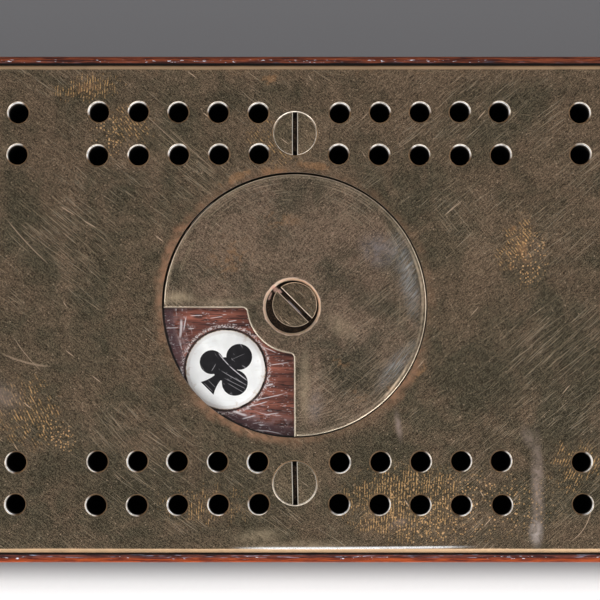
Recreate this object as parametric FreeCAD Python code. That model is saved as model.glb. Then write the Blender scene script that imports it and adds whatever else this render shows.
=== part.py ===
"""Cribbage box: a rosewood case with a brass scoring plate, a turning suit indicator and a drawer.

The frame: origin on the resting plane under the middle of the case, +X along the box towards the
drawer's knob, +Y across it, +Z up. Lengths are in millimetres.

The case is boards glued into housings. The deck board carries the brass plate, which is drilled for
four rows of thirty peg holes and is let into a rebate that leaves a thin wooden rim. A brass disc
with a quarter cut away turns in the middle of the plate and shows one of four inlaid suit roundels.
The drawer is dovetailed and slides out of one end.
"""

import FreeCAD
import Part
import math
import os

V = FreeCAD.Vector
X, Y, Z = V(1, 0, 0), V(0, 1, 0), V(0, 0, 1)

# Case
case_length = 250.0
case_width = 80.0
wall_thickness = 5.0
housing_depth = 2.0  # how far the deck and the base are let into the walls
baize_thickness = 0.8
baize_inset = 1.0
base_thickness = 4.5
cavity_height = 28.0
deck_thickness = 9.0
rim_width = 1.4  # the wood left standing round the plate
arris_round = 0.7

# Brass scoring plate
plate_thickness = 2.4
plate_proud = 0.7
plate_fit = 0.1  # gap between the plate and the rim
plate_edge_round = 0.8
plate_corner_round = 0.6

# Peg holes
peg_hole_diameter = 3.175
peg_pitch = 6.35
group_step = 12.7  # from the last hole of a group to the first of the next
holes_per_group = 5
groups_per_half = 3
inner_row_y = 24.2
outer_row_y = 30.9
peg_hole_depth = 7.0  # in the deck, below the plate
drill_wander = 0.12  # how far a hand-drilled hole strays from its mark
game_hole_step = 6.35  # from the last track hole to the game hole beyond it

# Flush screws that hold the plate
screw_head_diameter = 7.0
screw_shank_diameter = 3.6
screw_length = 9.0
screw_point_length = 2.5
screw_slot_width = 0.72
screw_slot_depth = 0.8
countersink_fit = 0.08
side_screw_x = -0.65
side_screw_y = 27.55
end_screw_x = 113.0

# Suit indicator
pivot_x = -0.7
pivot_y = 0.5
disc_diameter = 41.4
disc_fit = 0.22  # radial gap between the disc and the plate
disc_edge_chamfer = 0.3
window_hub_radius = 7.7
window_corner_round = 0.7
window_side_offset = 0.45
window_end_offset = 0.2
pivot_head_diameter = 7.0
pivot_head_height = 1.2
pivot_slot_width = 0.75
pivot_slot_depth = 0.7
pivot_slot_angle = -45.0
pivot_shank_diameter = 4.0
pivot_running_fit = 0.05
pivot_screw_depth = 7.5  # below the disc, in the deck
counterbore_diameter = 8.7
counterbore_chamfer = 0.3
counterbore_off_x = -0.35  # the counterbore is cut a little off the pivot
counterbore_off_y = -0.1

# Suit roundels and their inlays
roundel_diameter = 12.9
roundel_thickness = 1.6
roundel_orbit = 14.95
inlay_thickness = 0.8

# Drawer
drawer_side_fit = 0.25
drawer_top_fit = 0.5
drawer_front_lift = 0.15
drawer_front_thickness = 6.0
drawer_front_arris = 0.3
drawer_side_thickness = 2.4
drawer_back_thickness = 2.4
drawer_back_drop = 1.0  # the back and the dividers stop below the sides' top edge
drawer_bottom_thickness = 2.0
drawer_bottom_rise = 1.0
drawer_groove_depth = 1.0
drawer_front_groove = 2.0
dovetail_lap = 1.6  # wood left in front of the half-blind tails
dovetail_count = 3
dovetail_share = 0.56  # narrow width of a tail as a share of the spacing
dovetail_slope = 1 / 6
divider_thickness = 2.0
divider_housing = 0.8
card_well_length = 91.5
thumb_scoop_radius = 12.0
thumb_scoop_depth = 8.0
bottom_pin_diameter = 1.2
bottom_pin_length = 6.0
bottom_pin_spacing = 22.0

# Knob
knob_projection = 11.5
knob_head_radius = 5.2
knob_crown_radius = 3.0
knob_rim_thickness = 1.4
knob_flare_length = 3.4
knob_neck_radius = 2.0
knob_neck_length = 2.6
knob_rose_radius = 4.6
knob_rose_thickness = 1.0
knob_stem_radius = 1.5
knob_nut_side = 6.0
knob_nut_thickness = 1.6
knob_stem_past_nut = 0.5

# Turned pegs, lying in the drawer's front well
peg_length = 40.0
peg_tip_radius = 1.0
peg_taper_length = 9.0
peg_stem_radius = 1.4
peg_stem_length = 27.0
peg_collar_radius = 2.3
peg_collar_width = 1.6
peg_neck_radius = 1.1
peg_bulb_length = 4.6
peg_bulb_taper = 2.2
peg_bulb_radius = 2.0
peg_spacing = 9.0

# Heights, from the resting plane up
base_z = baize_thickness
cavity_z = base_z + base_thickness
deck_z = cavity_z + cavity_height
seat_z = deck_z + deck_thickness
plate_z = seat_z + plate_thickness
rim_z = plate_z - plate_proud

# Plan lines, measured from the middle of the case
half_length = case_length / 2
half_width = case_width / 2
inner_x = half_length - wall_thickness
inner_y = half_width - wall_thickness
housed_x = inner_x + housing_depth
housed_y = inner_y + housing_depth
rim_x = half_length - rim_width
rim_y = half_width - rim_width
plate_x = rim_x - plate_fit
plate_y = rim_y - plate_fit

# Drawer lines, with the drawer shut
drawer_y = inner_y - drawer_side_fit
drawer_back_x = -inner_x
drawer_wall_y = drawer_y - drawer_side_thickness
drawer_top_z = deck_z - drawer_top_fit
front_x = half_length - drawer_front_thickness
front_low_z = cavity_z + drawer_front_lift
front_high_z = deck_z - drawer_front_lift * 2
floor_low_z = cavity_z + drawer_bottom_rise
floor_z = floor_low_z + drawer_bottom_thickness
back_inner_x = drawer_back_x + drawer_back_thickness
inner_top_z = drawer_top_z - drawer_back_drop
knob_z = (front_low_z + front_high_z) / 2
pivot = V(pivot_x, pivot_y, 0)


def box(x0, x1, y0, y1, z0, z1):
    return Part.makeBox(x1 - x0, y1 - y0, z1 - z0, V(x0, y0, z0))


def rod(x, y, z0, z1, radius):
    return Part.makeCylinder(radius, z1 - z0, V(x, y, z0))


def taper(x, y, z0, z1, r0, r1):
    return Part.makeCone(r0, r1, z1 - z0, V(x, y, z0))


def prism(points, along):
    """A straight solid whose end face joins the points."""
    return Part.Face(Part.makePolygon([*points, points[0]])).extrude(along)


def turned(points, start, axis):
    """A solid of revolution from the corners of half its section."""
    return Part.Face(Part.makePolygon([*points, points[0]])).revolve(start, axis, 360)


def line(a, b):
    return Part.makeLine(a, b)


def arc(a, middle, b):
    return Part.Arc(a, middle, b).toShape()


def joined(shapes):
    """One clean solid from solids that meet."""
    return shapes[0].fuse(shapes[1:]).removeSplitter()


def mirrored_y(shape):
    return shape.mirror(V(0, 0, 0), Y)


def save(name, *solids):
    shape = solids[0] if len(solids) == 1 else Part.makeCompound(list(solids))
    shape.exportStep(f"parts/{name}.step")


# Case boards. They share one section and one rounded envelope, as if the arrises were
# worked after the glue set.


def case_envelope():
    block = box(-half_length, half_length, -half_width, half_width, base_z, rim_z)
    radius = min(arris_round, 0.8 * rim_width)
    worked = [e for e in block.Edges if e.BoundBox.ZMax > base_z + radius]
    return block.makeFillet(radius, worked)


def wall_section(outer, inner, housed, rim):
    """Across a wall, as (distance from the middle, height) pairs, with the two housings and the rebate."""
    return [
        (outer, base_z),
        (outer, rim_z),
        (rim, rim_z),
        (rim, seat_z),
        (housed, seat_z),
        (housed, deck_z),
        (inner, deck_z),
        (inner, cavity_z),
        (housed, cavity_z),
        (housed, base_z),
    ]


def mitre_keep(side):
    """The space on the long wall's side of the mitre at the closed end."""
    reach = 2 * wall_thickness
    return prism(
        [
            V(-half_length - reach, side * (half_width + reach), base_z),
            V(-inner_x + reach, side * (inner_y - reach), base_z),
            V(half_length + reach, side * (inner_y - reach), base_z),
            V(half_length + reach, side * (half_width + reach), base_z),
        ],
        Z * (rim_z - base_z),
    )


def long_side(side, envelope):
    section = wall_section(half_width, inner_y, housed_y, rim_y)
    points = [V(-half_length, side * y, z) for y, z in section]
    return prism(points, X * case_length).common(mitre_keep(side)).common(envelope)


def end_board(envelope):
    section = wall_section(half_length, inner_x, housed_x, rim_x)
    points = [V(-x, -half_width, z) for x, z in section]
    board = prism(points, Y * case_width)
    return board.cut([mitre_keep(1), mitre_keep(-1)]).common(envelope)


def front_rail(envelope):
    """Faces the deck's end above the drawer, and carries the rim across that end."""
    facing = box(housed_x, half_length, -housed_y, housed_y, deck_z, seat_z)
    rim = box(rim_x, half_length, -rim_y, rim_y, seat_z, rim_z)
    return joined([facing, rim]).common(envelope)


def front_sill(envelope):
    return box(inner_x, half_length, -housed_y, housed_y, base_z, cavity_z).common(envelope)


def base_board():
    return box(-housed_x, inner_x, -housed_y, housed_y, base_z, cavity_z)


def baize():
    x, y = half_length - baize_inset, half_width - baize_inset
    return box(-x, x, -y, y, 0, baize_thickness)


# Peg holes, as (x, y) places. The marks are square, and the drill strays a little from each.


def track_marks():
    along = []
    for group in range(groups_per_half):
        start = peg_pitch * (holes_per_group - 1) + group_step
        first = group_step / 2 + group * start
        along += [first + i * peg_pitch for i in range(holes_per_group)]
    rows = (inner_row_y, outer_row_y)
    return [(sx * x, sy * y) for x in along for y in rows for sx in (-1, 1) for sy in (-1, 1)]


def game_marks():
    last = max(x for x, _ in track_marks())
    middle = (inner_row_y + outer_row_y) / 2
    return [(sx * (last + game_hole_step), sy * middle) for sx in (-1, 1) for sy in (-1, 1)]


def strayed(x, y):
    """Where the drill really went in: a repeatable scatter worked out from the mark."""
    angle = 12.9898 * x + 78.233 * y
    size = drill_wander * (0.35 + 0.65 * abs(math.sin(0.731 * angle)))
    return x + size * math.cos(angle), y + size * math.sin(angle)


def peg_holes(z0, z1):
    places = [strayed(x, y) for x, y in track_marks() + game_marks()]
    return [rod(x, y, z0, z1, peg_hole_diameter / 2) for x, y in places]


# Flush screws


def screw_places():
    return [
        (side_screw_x, side_screw_y),
        (side_screw_x, -side_screw_y),
        (end_screw_x, 0),
        (-end_screw_x, 0),
    ]


def countersink_height():
    return (screw_head_diameter - screw_shank_diameter) / 2


def screw_body(x, y, grow):
    """A countersunk wood screw without its slot; grow widens it into the hole that takes it."""
    head, shank = screw_head_diameter / 2 + grow, screw_shank_diameter / 2
    cone_z = plate_z - countersink_height() - grow
    tip_z = plate_z - screw_length
    point_z = tip_z + screw_point_length
    return joined(
        [
            taper(x, y, cone_z, plate_z, shank, head),
            rod(x, y, point_z, cone_z, shank),
            taper(x, y, tip_z, point_z, 0, shank),
        ]
    )


def plate_screw(x, y):
    reach = screw_head_diameter
    half_slot = screw_slot_width / 2
    low = plate_z - screw_slot_depth
    slot = box(x - half_slot, x + half_slot, y - reach, y + reach, low, plate_z + 1)
    return screw_body(x, y, 0).cut(slot)


# Suit indicator


def disc_radius():
    return disc_diameter / 2


def window_cutter():
    """The quarter that the disc leaves open, from its hub out past its edge, between two offset sides."""
    reach = disc_diameter
    quarter = box(
        pivot_x - reach,
        pivot_x - window_end_offset,
        pivot_y - reach,
        pivot_y - window_side_offset,
        seat_z,
        plate_z,
    )
    hub = rod(pivot_x, pivot_y, seat_z, plate_z, window_hub_radius)
    window = quarter.cut(hub)
    corners = [e for e in window.Edges if inner_window_corner(e)]
    return window.makeFillet(window_corner_round, corners)


def inner_window_corner(edge):
    """True for the upright edges where a side of the window meets the hub."""
    box_of = edge.BoundBox
    upright = box_of.ZLength > 0.9 * plate_thickness
    away = math.hypot(box_of.XMin - pivot_x, box_of.YMin - pivot_y)
    return upright and abs(away - window_hub_radius) < 0.01


def indicator_disc():
    radius = disc_radius()
    disc = rod(pivot_x, pivot_y, seat_z, plate_z, radius).cut(window_cutter())
    top_edges = [e for e in disc.Edges if e.BoundBox.ZMin > plate_z - 0.001]
    disc = disc.makeChamfer(disc_edge_chamfer, top_edges)
    bore = rod(
        pivot_x,
        pivot_y,
        seat_z,
        plate_z,
        pivot_shank_diameter / 2 + pivot_running_fit,
    )
    x, y = pivot_x + counterbore_off_x, pivot_y + counterbore_off_y
    recess = counterbore_diameter / 2
    low = plate_z - pivot_head_height
    wide = recess + counterbore_chamfer
    lip = taper(x, y, plate_z - counterbore_chamfer, plate_z, recess, wide)
    return disc.cut([bore, rod(x, y, low, plate_z, recess), lip])


def pivot_body():
    """The screw that the disc turns on, without its slot."""
    tip_z = seat_z - pivot_screw_depth
    point_z = tip_z + screw_point_length
    shank = pivot_shank_diameter / 2
    head_z = plate_z - pivot_head_height
    return joined(
        [
            rod(pivot_x, pivot_y, head_z, plate_z, pivot_head_diameter / 2),
            rod(pivot_x, pivot_y, point_z, head_z, shank),
            taper(pivot_x, pivot_y, tip_z, point_z, 0, shank),
        ]
    )


def pivot_screw():
    reach = pivot_head_diameter
    half_slot = pivot_slot_width / 2
    low = plate_z - pivot_slot_depth
    slot = box(-reach, reach, -half_slot, half_slot, low, plate_z + 1)
    slot.rotate(V(0, 0, 0), Z, pivot_slot_angle)
    slot.translate(pivot)
    return pivot_body().cut(slot)


# Suit shapes, drawn on their backs with the top towards +Y, inlay_thickness deep

club_lobes = [(0.1, 2.9, 2.0), (-2.4, -0.7, 1.87), (2.5, -0.4, 2.03)]  # x, y and radius, filed by eye
club_heart = 1.5
stem_foot_y = -4.2
stem_foot_half = 1.43
stem_neck_half = 0.3
heart_lobe = 2.15
heart_lobe_x = 1.95
heart_lobe_y = 1.35
heart_point_y = -4.3
spade_lobe = 1.95
spade_lobe_x = 1.9
spade_lobe_y = -1.15
spade_point_y = 4.4
diamond_half_width = 3.2
diamond_half_height = 4.3
diamond_hollow = 0.45  # how far a side of the diamond bows in


def disc_of(x, y, radius):
    return rod(x, y, 0, inlay_thickness, radius)


def stem():
    """A foot that flares from a narrow neck, with hollow sides."""
    edges = []
    for side in (-1, 1):
        foot = V(side * stem_foot_half, stem_foot_y, 0)
        bend = V(side * (stem_neck_half + 0.25), stem_foot_y / 2 - 0.4, 0)
        neck = V(side * stem_neck_half, 0, 0)
        edges.append(arc(foot, bend, neck))
    edges.insert(1, line(V(stem_neck_half, 0, 0), V(-stem_neck_half, 0, 0)))
    edges.append(line(V(stem_foot_half, stem_foot_y, 0), V(-stem_foot_half, stem_foot_y, 0)))
    outline = Part.Wire(Part.__sortEdges__(edges))
    return Part.Face(outline).extrude(Z * inlay_thickness)


def leaf(lobe, lobe_x, lobe_y, point_y):
    """Two round lobes drawn out to a point: a heart, or a spade's blade where the point is above."""
    up = lobe_y - point_y
    span = math.hypot(lobe_x, up)
    swing = math.atan2(abs(up), lobe_x) - math.acos(lobe / span)
    touch_x = lobe_x + lobe * math.cos(swing)
    touch_y = lobe_y - math.copysign(lobe * math.sin(swing), up)
    blade = prism(
        [
            V(0, point_y, 0),
            V(touch_x, touch_y, 0),
            V(lobe_x, lobe_y, 0),
            V(-lobe_x, lobe_y, 0),
            V(-touch_x, touch_y, 0),
        ],
        Z * inlay_thickness,
    )
    lobes = [disc_of(side * lobe_x, lobe_y, lobe) for side in (-1, 1)]
    return joined([blade, *lobes])


def club_shape():
    lobes = [disc_of(*lobe) for lobe in club_lobes]
    return joined([*lobes, disc_of(0, 0.2, club_heart), stem()])


def heart_shape():
    return leaf(heart_lobe, heart_lobe_x, heart_lobe_y, heart_point_y)


def spade_shape():
    return joined([leaf(spade_lobe, spade_lobe_x, spade_lobe_y, spade_point_y), stem()])


def diamond_shape():
    corners = [
        V(diamond_half_width, 0, 0),
        V(0, diamond_half_height, 0),
        V(-diamond_half_width, 0, 0),
        V(0, -diamond_half_height, 0),
    ]
    edges = []
    for i, corner in enumerate(corners):
        after = corners[(i + 1) % 4]
        middle = (corner + after) * 0.5
        inwards = 1 - diamond_hollow / middle.Length
        edges.append(arc(corner, middle * inwards, after))
    return Part.Face(Part.Wire(edges)).extrude(Z * inlay_thickness)


# Each suit's bearing from the pivot, the angle that it leans from pointing at it, and its shape
suits = {
    "club": (223.0, 2.3, club_shape),
    "heart": (135.0, 0.0, heart_shape),
    "spade": (45.0, 0.0, spade_shape),
    "diamond": (315.0, 0.0, diamond_shape),
}


def orbit_place(bearing):
    angle = math.radians(bearing)
    return V(
        pivot_x + roundel_orbit * math.cos(angle),
        pivot_y + roundel_orbit * math.sin(angle),
        0,
    )


def suit_inlay(name):
    """The suit set flush in its roundel, its top towards the pivot."""
    bearing, lean, shape_of = suits[name]
    inlay = shape_of()
    inlay.rotate(V(0, 0, 0), Z, bearing + lean + 90)
    inlay.translate(orbit_place(bearing) + V(0, 0, seat_z - inlay_thickness))
    return inlay


def roundel_blank(name):
    place = orbit_place(suits[name][0])
    return rod(place.x, place.y, seat_z - roundel_thickness, seat_z, roundel_diameter / 2)


# Deck and plate


def deck_board():
    deck = box(-housed_x, housed_x, -housed_y, housed_y, deck_z, seat_z)
    cutters = peg_holes(seat_z - peg_hole_depth, seat_z)
    cutters += [roundel_blank(name) for name in suits]
    cutters += [screw_body(x, y, 0) for x, y in screw_places()]
    return deck.cut([*cutters, pivot_body()])


def plate_blank():
    slab = box(-plate_x, plate_x, -plate_y, plate_y, seat_z, plate_z)
    upright = [e for e in slab.Edges if e.BoundBox.ZLength > 0.9 * plate_thickness]
    slab = slab.makeFillet(plate_corner_round, upright)
    top_edges = [e for e in slab.Edges if e.BoundBox.ZMin > plate_z - 0.001]
    return slab.makeFillet(min(plate_edge_round, 0.9 * plate_thickness), top_edges)


def top_plate():
    cutters = peg_holes(seat_z, plate_z)
    cutters.append(rod(pivot_x, pivot_y, seat_z, plate_z, disc_radius() + disc_fit))
    cutters += [screw_body(x, y, countersink_fit) for x, y in screw_places()]
    return plate_blank().cut(cutters)


# Drawer


def tails(shoulder_x, depth, way, y0, y1, z0, z1):
    """A row of dovetails between z0 and z1, that widen from the shoulder along way (+1 or -1 in X)."""
    spacing = (z1 - z0) / dovetail_count
    narrow = spacing * dovetail_share / 2
    wide = narrow + depth * dovetail_slope
    tip_x = shoulder_x + way * depth
    made = []
    for i in range(dovetail_count):
        z = z0 + (i + 0.5) * spacing
        points = [
            V(shoulder_x, y0, z - narrow),
            V(tip_x, y0, z - wide),
            V(tip_x, y0, z + wide),
            V(shoulder_x, y0, z + narrow),
        ]
        made.append(prism(points, Y * (y1 - y0)))
    return made


def front_tails():
    depth = drawer_front_thickness - dovetail_lap
    return tails(front_x, depth, 1, drawer_wall_y, drawer_y, front_low_z, drawer_top_z)


def back_tails():
    span = (drawer_wall_y, drawer_y, floor_z, inner_top_z)
    return tails(back_inner_x, drawer_back_thickness, -1, *span)


def drawer_bottom_blank():
    x1 = front_x + drawer_front_groove
    y = drawer_wall_y + drawer_groove_depth
    return box(drawer_back_x, x1, -y, y, floor_low_z, floor_z)


def divider_places():
    """The near faces of the two dividers, from the back of the drawer."""
    rear = back_inner_x + card_well_length
    return [rear, rear + divider_thickness + card_well_length]


def divider_blank(x, top_z):
    y = drawer_wall_y + divider_housing
    return box(x, x + divider_thickness, -y, y, floor_z, top_z)


def drawer_side():
    wall = (drawer_wall_y, drawer_y)
    board = box(back_inner_x, front_x, *wall, cavity_z, drawer_top_z)
    horn = box(drawer_back_x, back_inner_x, *wall, cavity_z, floor_z)
    side = joined([board, horn, *front_tails(), *back_tails()])
    dados = [divider_blank(x, drawer_top_z) for x in divider_places()]
    return side.cut([drawer_bottom_blank(), *dados])


def both_sides(solids):
    return solids + [mirrored_y(s) for s in solids]


def drawer_front():
    front = box(front_x, half_length, -drawer_y, drawer_y, front_low_z, front_high_z)
    face_edges = [e for e in front.Edges if e.BoundBox.XMin > half_length - 0.001]
    front = front.makeChamfer(drawer_front_arris, face_edges)
    stem_hole = Part.makeCylinder(
        knob_stem_radius, drawer_front_thickness, V(front_x, 0, knob_z), X
    )
    return front.cut([*both_sides(front_tails()), drawer_bottom_blank(), stem_hole])


def drawer_back():
    board = box(drawer_back_x, back_inner_x, -drawer_y, drawer_y, floor_z, inner_top_z)
    return board.cut([*both_sides(back_tails()), *bottom_pins()])


def bottom_pins():
    """Small pins up through the bottom board into the back's lower edge."""
    x = (drawer_back_x + back_inner_x) / 2
    top_z = floor_low_z + bottom_pin_length
    places = (-bottom_pin_spacing, 0, bottom_pin_spacing)
    return [rod(x, y, floor_low_z, top_z, bottom_pin_diameter / 2) for y in places]


def drawer_bottom():
    return drawer_bottom_blank().cut(bottom_pins())


def divider(x):
    scoop_z = inner_top_z - thumb_scoop_depth + thumb_scoop_radius
    scoop = Part.makeCylinder(thumb_scoop_radius, divider_thickness, V(x, 0, scoop_z), X)
    return divider_blank(x, inner_top_z).cut(scoop)


# Knob, turned about a line through the middle of the drawer front


def on_knob(out, radius):
    """A point of the knob's half section, out from the drawer's face and away from its axis."""
    return V(half_length + out, 0, knob_z + radius)


def knob():
    end = -(drawer_front_thickness + knob_nut_thickness + knob_stem_past_nut)
    neck_out = knob_rose_thickness + knob_neck_length
    rim_out = neck_out + knob_flare_length
    crown_out = rim_out + knob_rim_thickness
    profile = [
        (end, 0),
        (end, knob_stem_radius),
        (0, knob_stem_radius),
        (0, knob_rose_radius),
        (knob_rose_thickness, knob_rose_radius - knob_rose_thickness),
        (knob_rose_thickness, knob_neck_radius),
        (neck_out, knob_neck_radius),
        (rim_out, knob_head_radius),
        (crown_out, knob_head_radius),
        (knob_projection, knob_crown_radius),
        (knob_projection, 0),
    ]
    return turned([on_knob(out, radius) for out, radius in profile], on_knob(0, 0), X)


def knob_nut():
    x = front_x - knob_nut_thickness
    half = knob_nut_side / 2
    nut = box(x, front_x, -half, half, knob_z - half, knob_z + half)
    return nut.cut(Part.makeCylinder(knob_stem_radius, knob_nut_thickness, V(x, 0, knob_z), X))


# Pegs


def peg():
    """One turned peg with its tip at the origin and its axis along +Y."""
    collar_y = peg_stem_length
    neck_y = collar_y + peg_collar_width
    bulb_y = peg_length - peg_bulb_length
    profile = [
        (0, 0),
        (0, peg_tip_radius),
        (peg_taper_length, peg_stem_radius),
        (collar_y, peg_stem_radius),
        (collar_y, peg_collar_radius),
        (neck_y, peg_collar_radius),
        (neck_y, peg_neck_radius),
        (bulb_y, peg_neck_radius),
        (bulb_y, peg_bulb_radius),
        (peg_length - peg_bulb_taper, peg_bulb_radius),
        (peg_length, peg_neck_radius),
        (peg_length, 0),
    ]
    return turned([V(radius, y, 0) for y, radius in profile], V(0, 0, 0), Y)


def lying_peg(slot):
    """A peg at rest on the drawer's bottom, on its collar and its tip, every other one turned round."""
    drop = peg_collar_radius - peg_tip_radius
    tilt = math.degrees(math.atan2(drop, peg_stem_length))
    shape = peg()
    shape.translate(V(0, -peg_stem_length, peg_collar_radius))
    shape.rotate(V(0, 0, 0), X, tilt)
    shape.translate(V(0, peg_stem_length - peg_length / 2, 0))
    shape.rotate(V(0, 0, 0), Z, 180 * (slot % 2))
    well_middle = (divider_places()[1] + divider_thickness + front_x) / 2
    x = well_middle + (slot - 1.5) * peg_spacing
    shape.translate(V(x, 0, floor_z))
    return shape


def main():
    os.makedirs("parts", exist_ok=True)

    envelope = case_envelope()
    save("side_back", long_side(1, envelope))
    save("side_front", long_side(-1, envelope))
    save("end_board", end_board(envelope))
    save("front_rail", front_rail(envelope))
    save("front_sill", front_sill(envelope))
    save("base_board", base_board())
    save("baize", baize())
    save("deck_board", deck_board())
    save("top_plate", top_plate())
    save("plate_screws", *[plate_screw(x, y) for x, y in screw_places()])

    for name in suits:
        inlay = suit_inlay(name)
        save(f"roundel_{name}", roundel_blank(name).cut(inlay))
        save(f"inlay_{name}", inlay)
    save("indicator_disc", indicator_disc())
    save("pivot_screw", pivot_screw())

    side = drawer_side()
    rear_divider_x, front_divider_x = divider_places()
    save("drawer_front", drawer_front())
    save("drawer_side_back", side)
    save("drawer_side_front", mirrored_y(side))
    save("drawer_back", drawer_back())
    save("drawer_bottom", drawer_bottom())
    save("drawer_bottom_pins", *bottom_pins())
    save("divider_rear", divider(rear_divider_x))
    save("divider_front", divider(front_divider_x))
    save("knob", knob())
    save("knob_nut", knob_nut())
    save("pegs_bone", lying_peg(0), lying_peg(1))
    save("pegs_red", lying_peg(2), lying_peg(3))


main()
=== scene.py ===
import math

import bmesh
import bpy
from mathutils import Matrix, Vector, noise


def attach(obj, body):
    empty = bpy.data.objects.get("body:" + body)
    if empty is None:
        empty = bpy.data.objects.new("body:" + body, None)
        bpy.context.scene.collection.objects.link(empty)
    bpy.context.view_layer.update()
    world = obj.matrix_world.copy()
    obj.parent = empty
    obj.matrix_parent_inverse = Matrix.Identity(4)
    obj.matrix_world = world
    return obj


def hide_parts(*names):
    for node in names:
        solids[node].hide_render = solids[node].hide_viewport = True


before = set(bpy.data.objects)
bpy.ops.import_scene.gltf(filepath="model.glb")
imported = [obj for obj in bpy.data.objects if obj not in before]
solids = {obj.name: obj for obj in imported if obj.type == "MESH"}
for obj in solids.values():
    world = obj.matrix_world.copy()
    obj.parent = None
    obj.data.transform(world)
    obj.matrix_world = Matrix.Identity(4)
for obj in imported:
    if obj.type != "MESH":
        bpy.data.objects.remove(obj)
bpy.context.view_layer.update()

MM = 0.001

# ---------------------------------------------------------------------------------------------
# Table, light and viewpoint
# The box stands on a matt table, pale in front and darker behind, with a shadow painted round its base. Soft
# lamps stand round it, two at its sides and three before it, and the viewpoint looks down on the lid, a
# little from the front.


class Shade:
    """A value that changes over a surface. Sums on it add Math nodes to its sketch."""

    def __init__(self, sketch, socket):
        self.sketch = sketch
        self.socket = socket

    def maths(self, operation, *values):
        return self.sketch.node("ShaderNodeMath", {"operation": operation}, dict(enumerate(values)))

    def __add__(self, other):
        return self.maths("ADD", self, other)

    __radd__ = __add__

    def __mul__(self, other):
        return self.maths("MULTIPLY", self, other)

    __rmul__ = __mul__

    def __sub__(self, other):
        return self.maths("SUBTRACT", self, other)

    def __rsub__(self, other):
        return self.maths("SUBTRACT", other, self)

    def __truediv__(self, other):
        return self.maths("DIVIDE", self, other)

    def __pow__(self, other):
        return self.maths("POWER", self, other)

    def __abs__(self):
        return self.maths("ABSOLUTE", self)

    def __or__(self, other):
        return self.maths("MAXIMUM", self, other)

    def rise(self, low, high):
        """0 at low, 1 at high, and a smooth slope between, whichever of them is larger."""
        settings = {"interpolation_type": "SMOOTHSTEP", "clamp": False}
        values = {"Value": self, "From Min": low, "From Max": high}
        return self.sketch.node("ShaderNodeMapRange", settings, values)


class Sketch:
    """A node tree drawn in code, for a finish or for a shape that repeats."""

    def __init__(self, tree):
        self.tree = tree

    def node(self, kind, settings=None, values=None, out=0):
        made = self.tree.nodes.new(kind)
        for key, value in (settings or {}).items():
            if key == "stops":
                while len(made.color_ramp.elements) < len(value):
                    made.color_ramp.elements.new(0.5)
                for stop, (place, colour) in zip(made.color_ramp.elements, value):
                    stop.position = place
                    stop.color = (*colour, 1)
            else:
                setattr(made, key, value)
        for key, value in (values or {}).items():
            for one in value if isinstance(value, list) else [value]:
                if isinstance(one, Shade):
                    self.tree.links.new(one.socket, made.inputs[key])
                else:
                    made.inputs[key].default_value = one
        return Shade(self, made.outputs[out]) if made.outputs else made


def on_piece(sketch):
    """The place on the piece, in millimetres."""
    here = sketch.node("ShaderNodeTexCoord", out="Object")
    return sketch.node("ShaderNodeVectorMath", {"operation": "SCALE"}, {0: here, "Scale": 1 / MM})


def new_finish(name):
    """An empty material with its sketch, and the place on the piece."""
    material = bpy.data.materials.new(name)
    material.use_nodes = True
    material.node_tree.nodes.clear()
    sketch = Sketch(material.node_tree)
    return material, sketch, on_piece(sketch)


def blend(share, under, over):
    """Colour under, with colour over laid on it by its share."""
    under, over = ((*c, 1) if isinstance(c, tuple) else c for c in (under, over))
    return share.sketch.node("ShaderNodeMix", {"data_type": "RGBA"}, {0: share, 6: under, 7: over}, out=2)


def grain(place, scale, detail=2.0, warp=0.0, rough=0.5):
    """Soft random cloud, 0 to 1, with features about 1 / scale millimetres across."""
    values = {"Vector": place, "Scale": scale, "Detail": detail, "Distortion": warp, "Roughness": rough}
    return place.sketch.node("ShaderNodeTexNoise", {}, values)


def axes(place):
    """The three coordinates of a place, or of a direction."""
    split = place.sketch.node("ShaderNodeSeparateXYZ", {}, {0: place})
    return [Shade(place.sketch, socket) for socket in split.socket.node.outputs]


def close_finish(sketch, values):
    """The shader, from the values of its sockets, and the end of the finish."""
    surface = sketch.node("ShaderNodeBsdfPrincipled", {}, values)
    sketch.node("ShaderNodeOutputMaterial", {}, {"Surface": surface})


paper, sketch, place = new_finish("table_paper")
across, depth, _ = axes(place)
paper_tone = blend(depth.rise(-60, 60), (0.86, 0.86, 0.86), (0.16, 0.16, 0.16))
paper_tone = blend(grain(place, 0.8, 4.0) * 0.15, paper_tone, (0.60, 0.60, 0.60))
# Painted shadow: the table goes dark grey under and behind the box, and fades out just before its front.
painted_contact_shadow = depth.rise(-46.5, -41.5) * abs(across).rise(130, 124)
paper_tone = blend(painted_contact_shadow, paper_tone, (0.20, 0.20, 0.21))
rays = sketch.node("ShaderNodeLightPath").socket.node.outputs
seen = Shade(sketch, rays["Is Camera Ray"]) | Shade(sketch, rays["Is Glossy Ray"])
close_finish(
    sketch,
    {
        "Base Color": paper_tone,
        "Roughness": 0.9,
        "Emission Color": blend(seen * depth.rise(-44.0, -50.0), (0, 0, 0), (0.30, 0.30, 0.30)),
        "Emission Strength": 1.0,
    },
)

table_mesh = bpy.data.meshes.new("table")
table_mesh.from_pydata([(-6, -6, 0), (6, -6, 0), (6, 6, 0), (-6, 6, 0)], [], [(0, 1, 2, 3)])
table_mesh.materials.append(paper)
table = bpy.data.objects.new("table", table_mesh)
bpy.context.scene.collection.objects.link(table)

room = bpy.data.worlds.new("room")
room.use_nodes = True
sky = room.node_tree.nodes["Background"].inputs
sky["Color"].default_value = (1, 1, 1, 1)
sky["Strength"].default_value = 0.54
bpy.context.scene.world = room
bpy.context.scene.view_settings.view_transform = "Standard"

BOX_MIDDLE = Vector((0, 0, 0.04))


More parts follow.
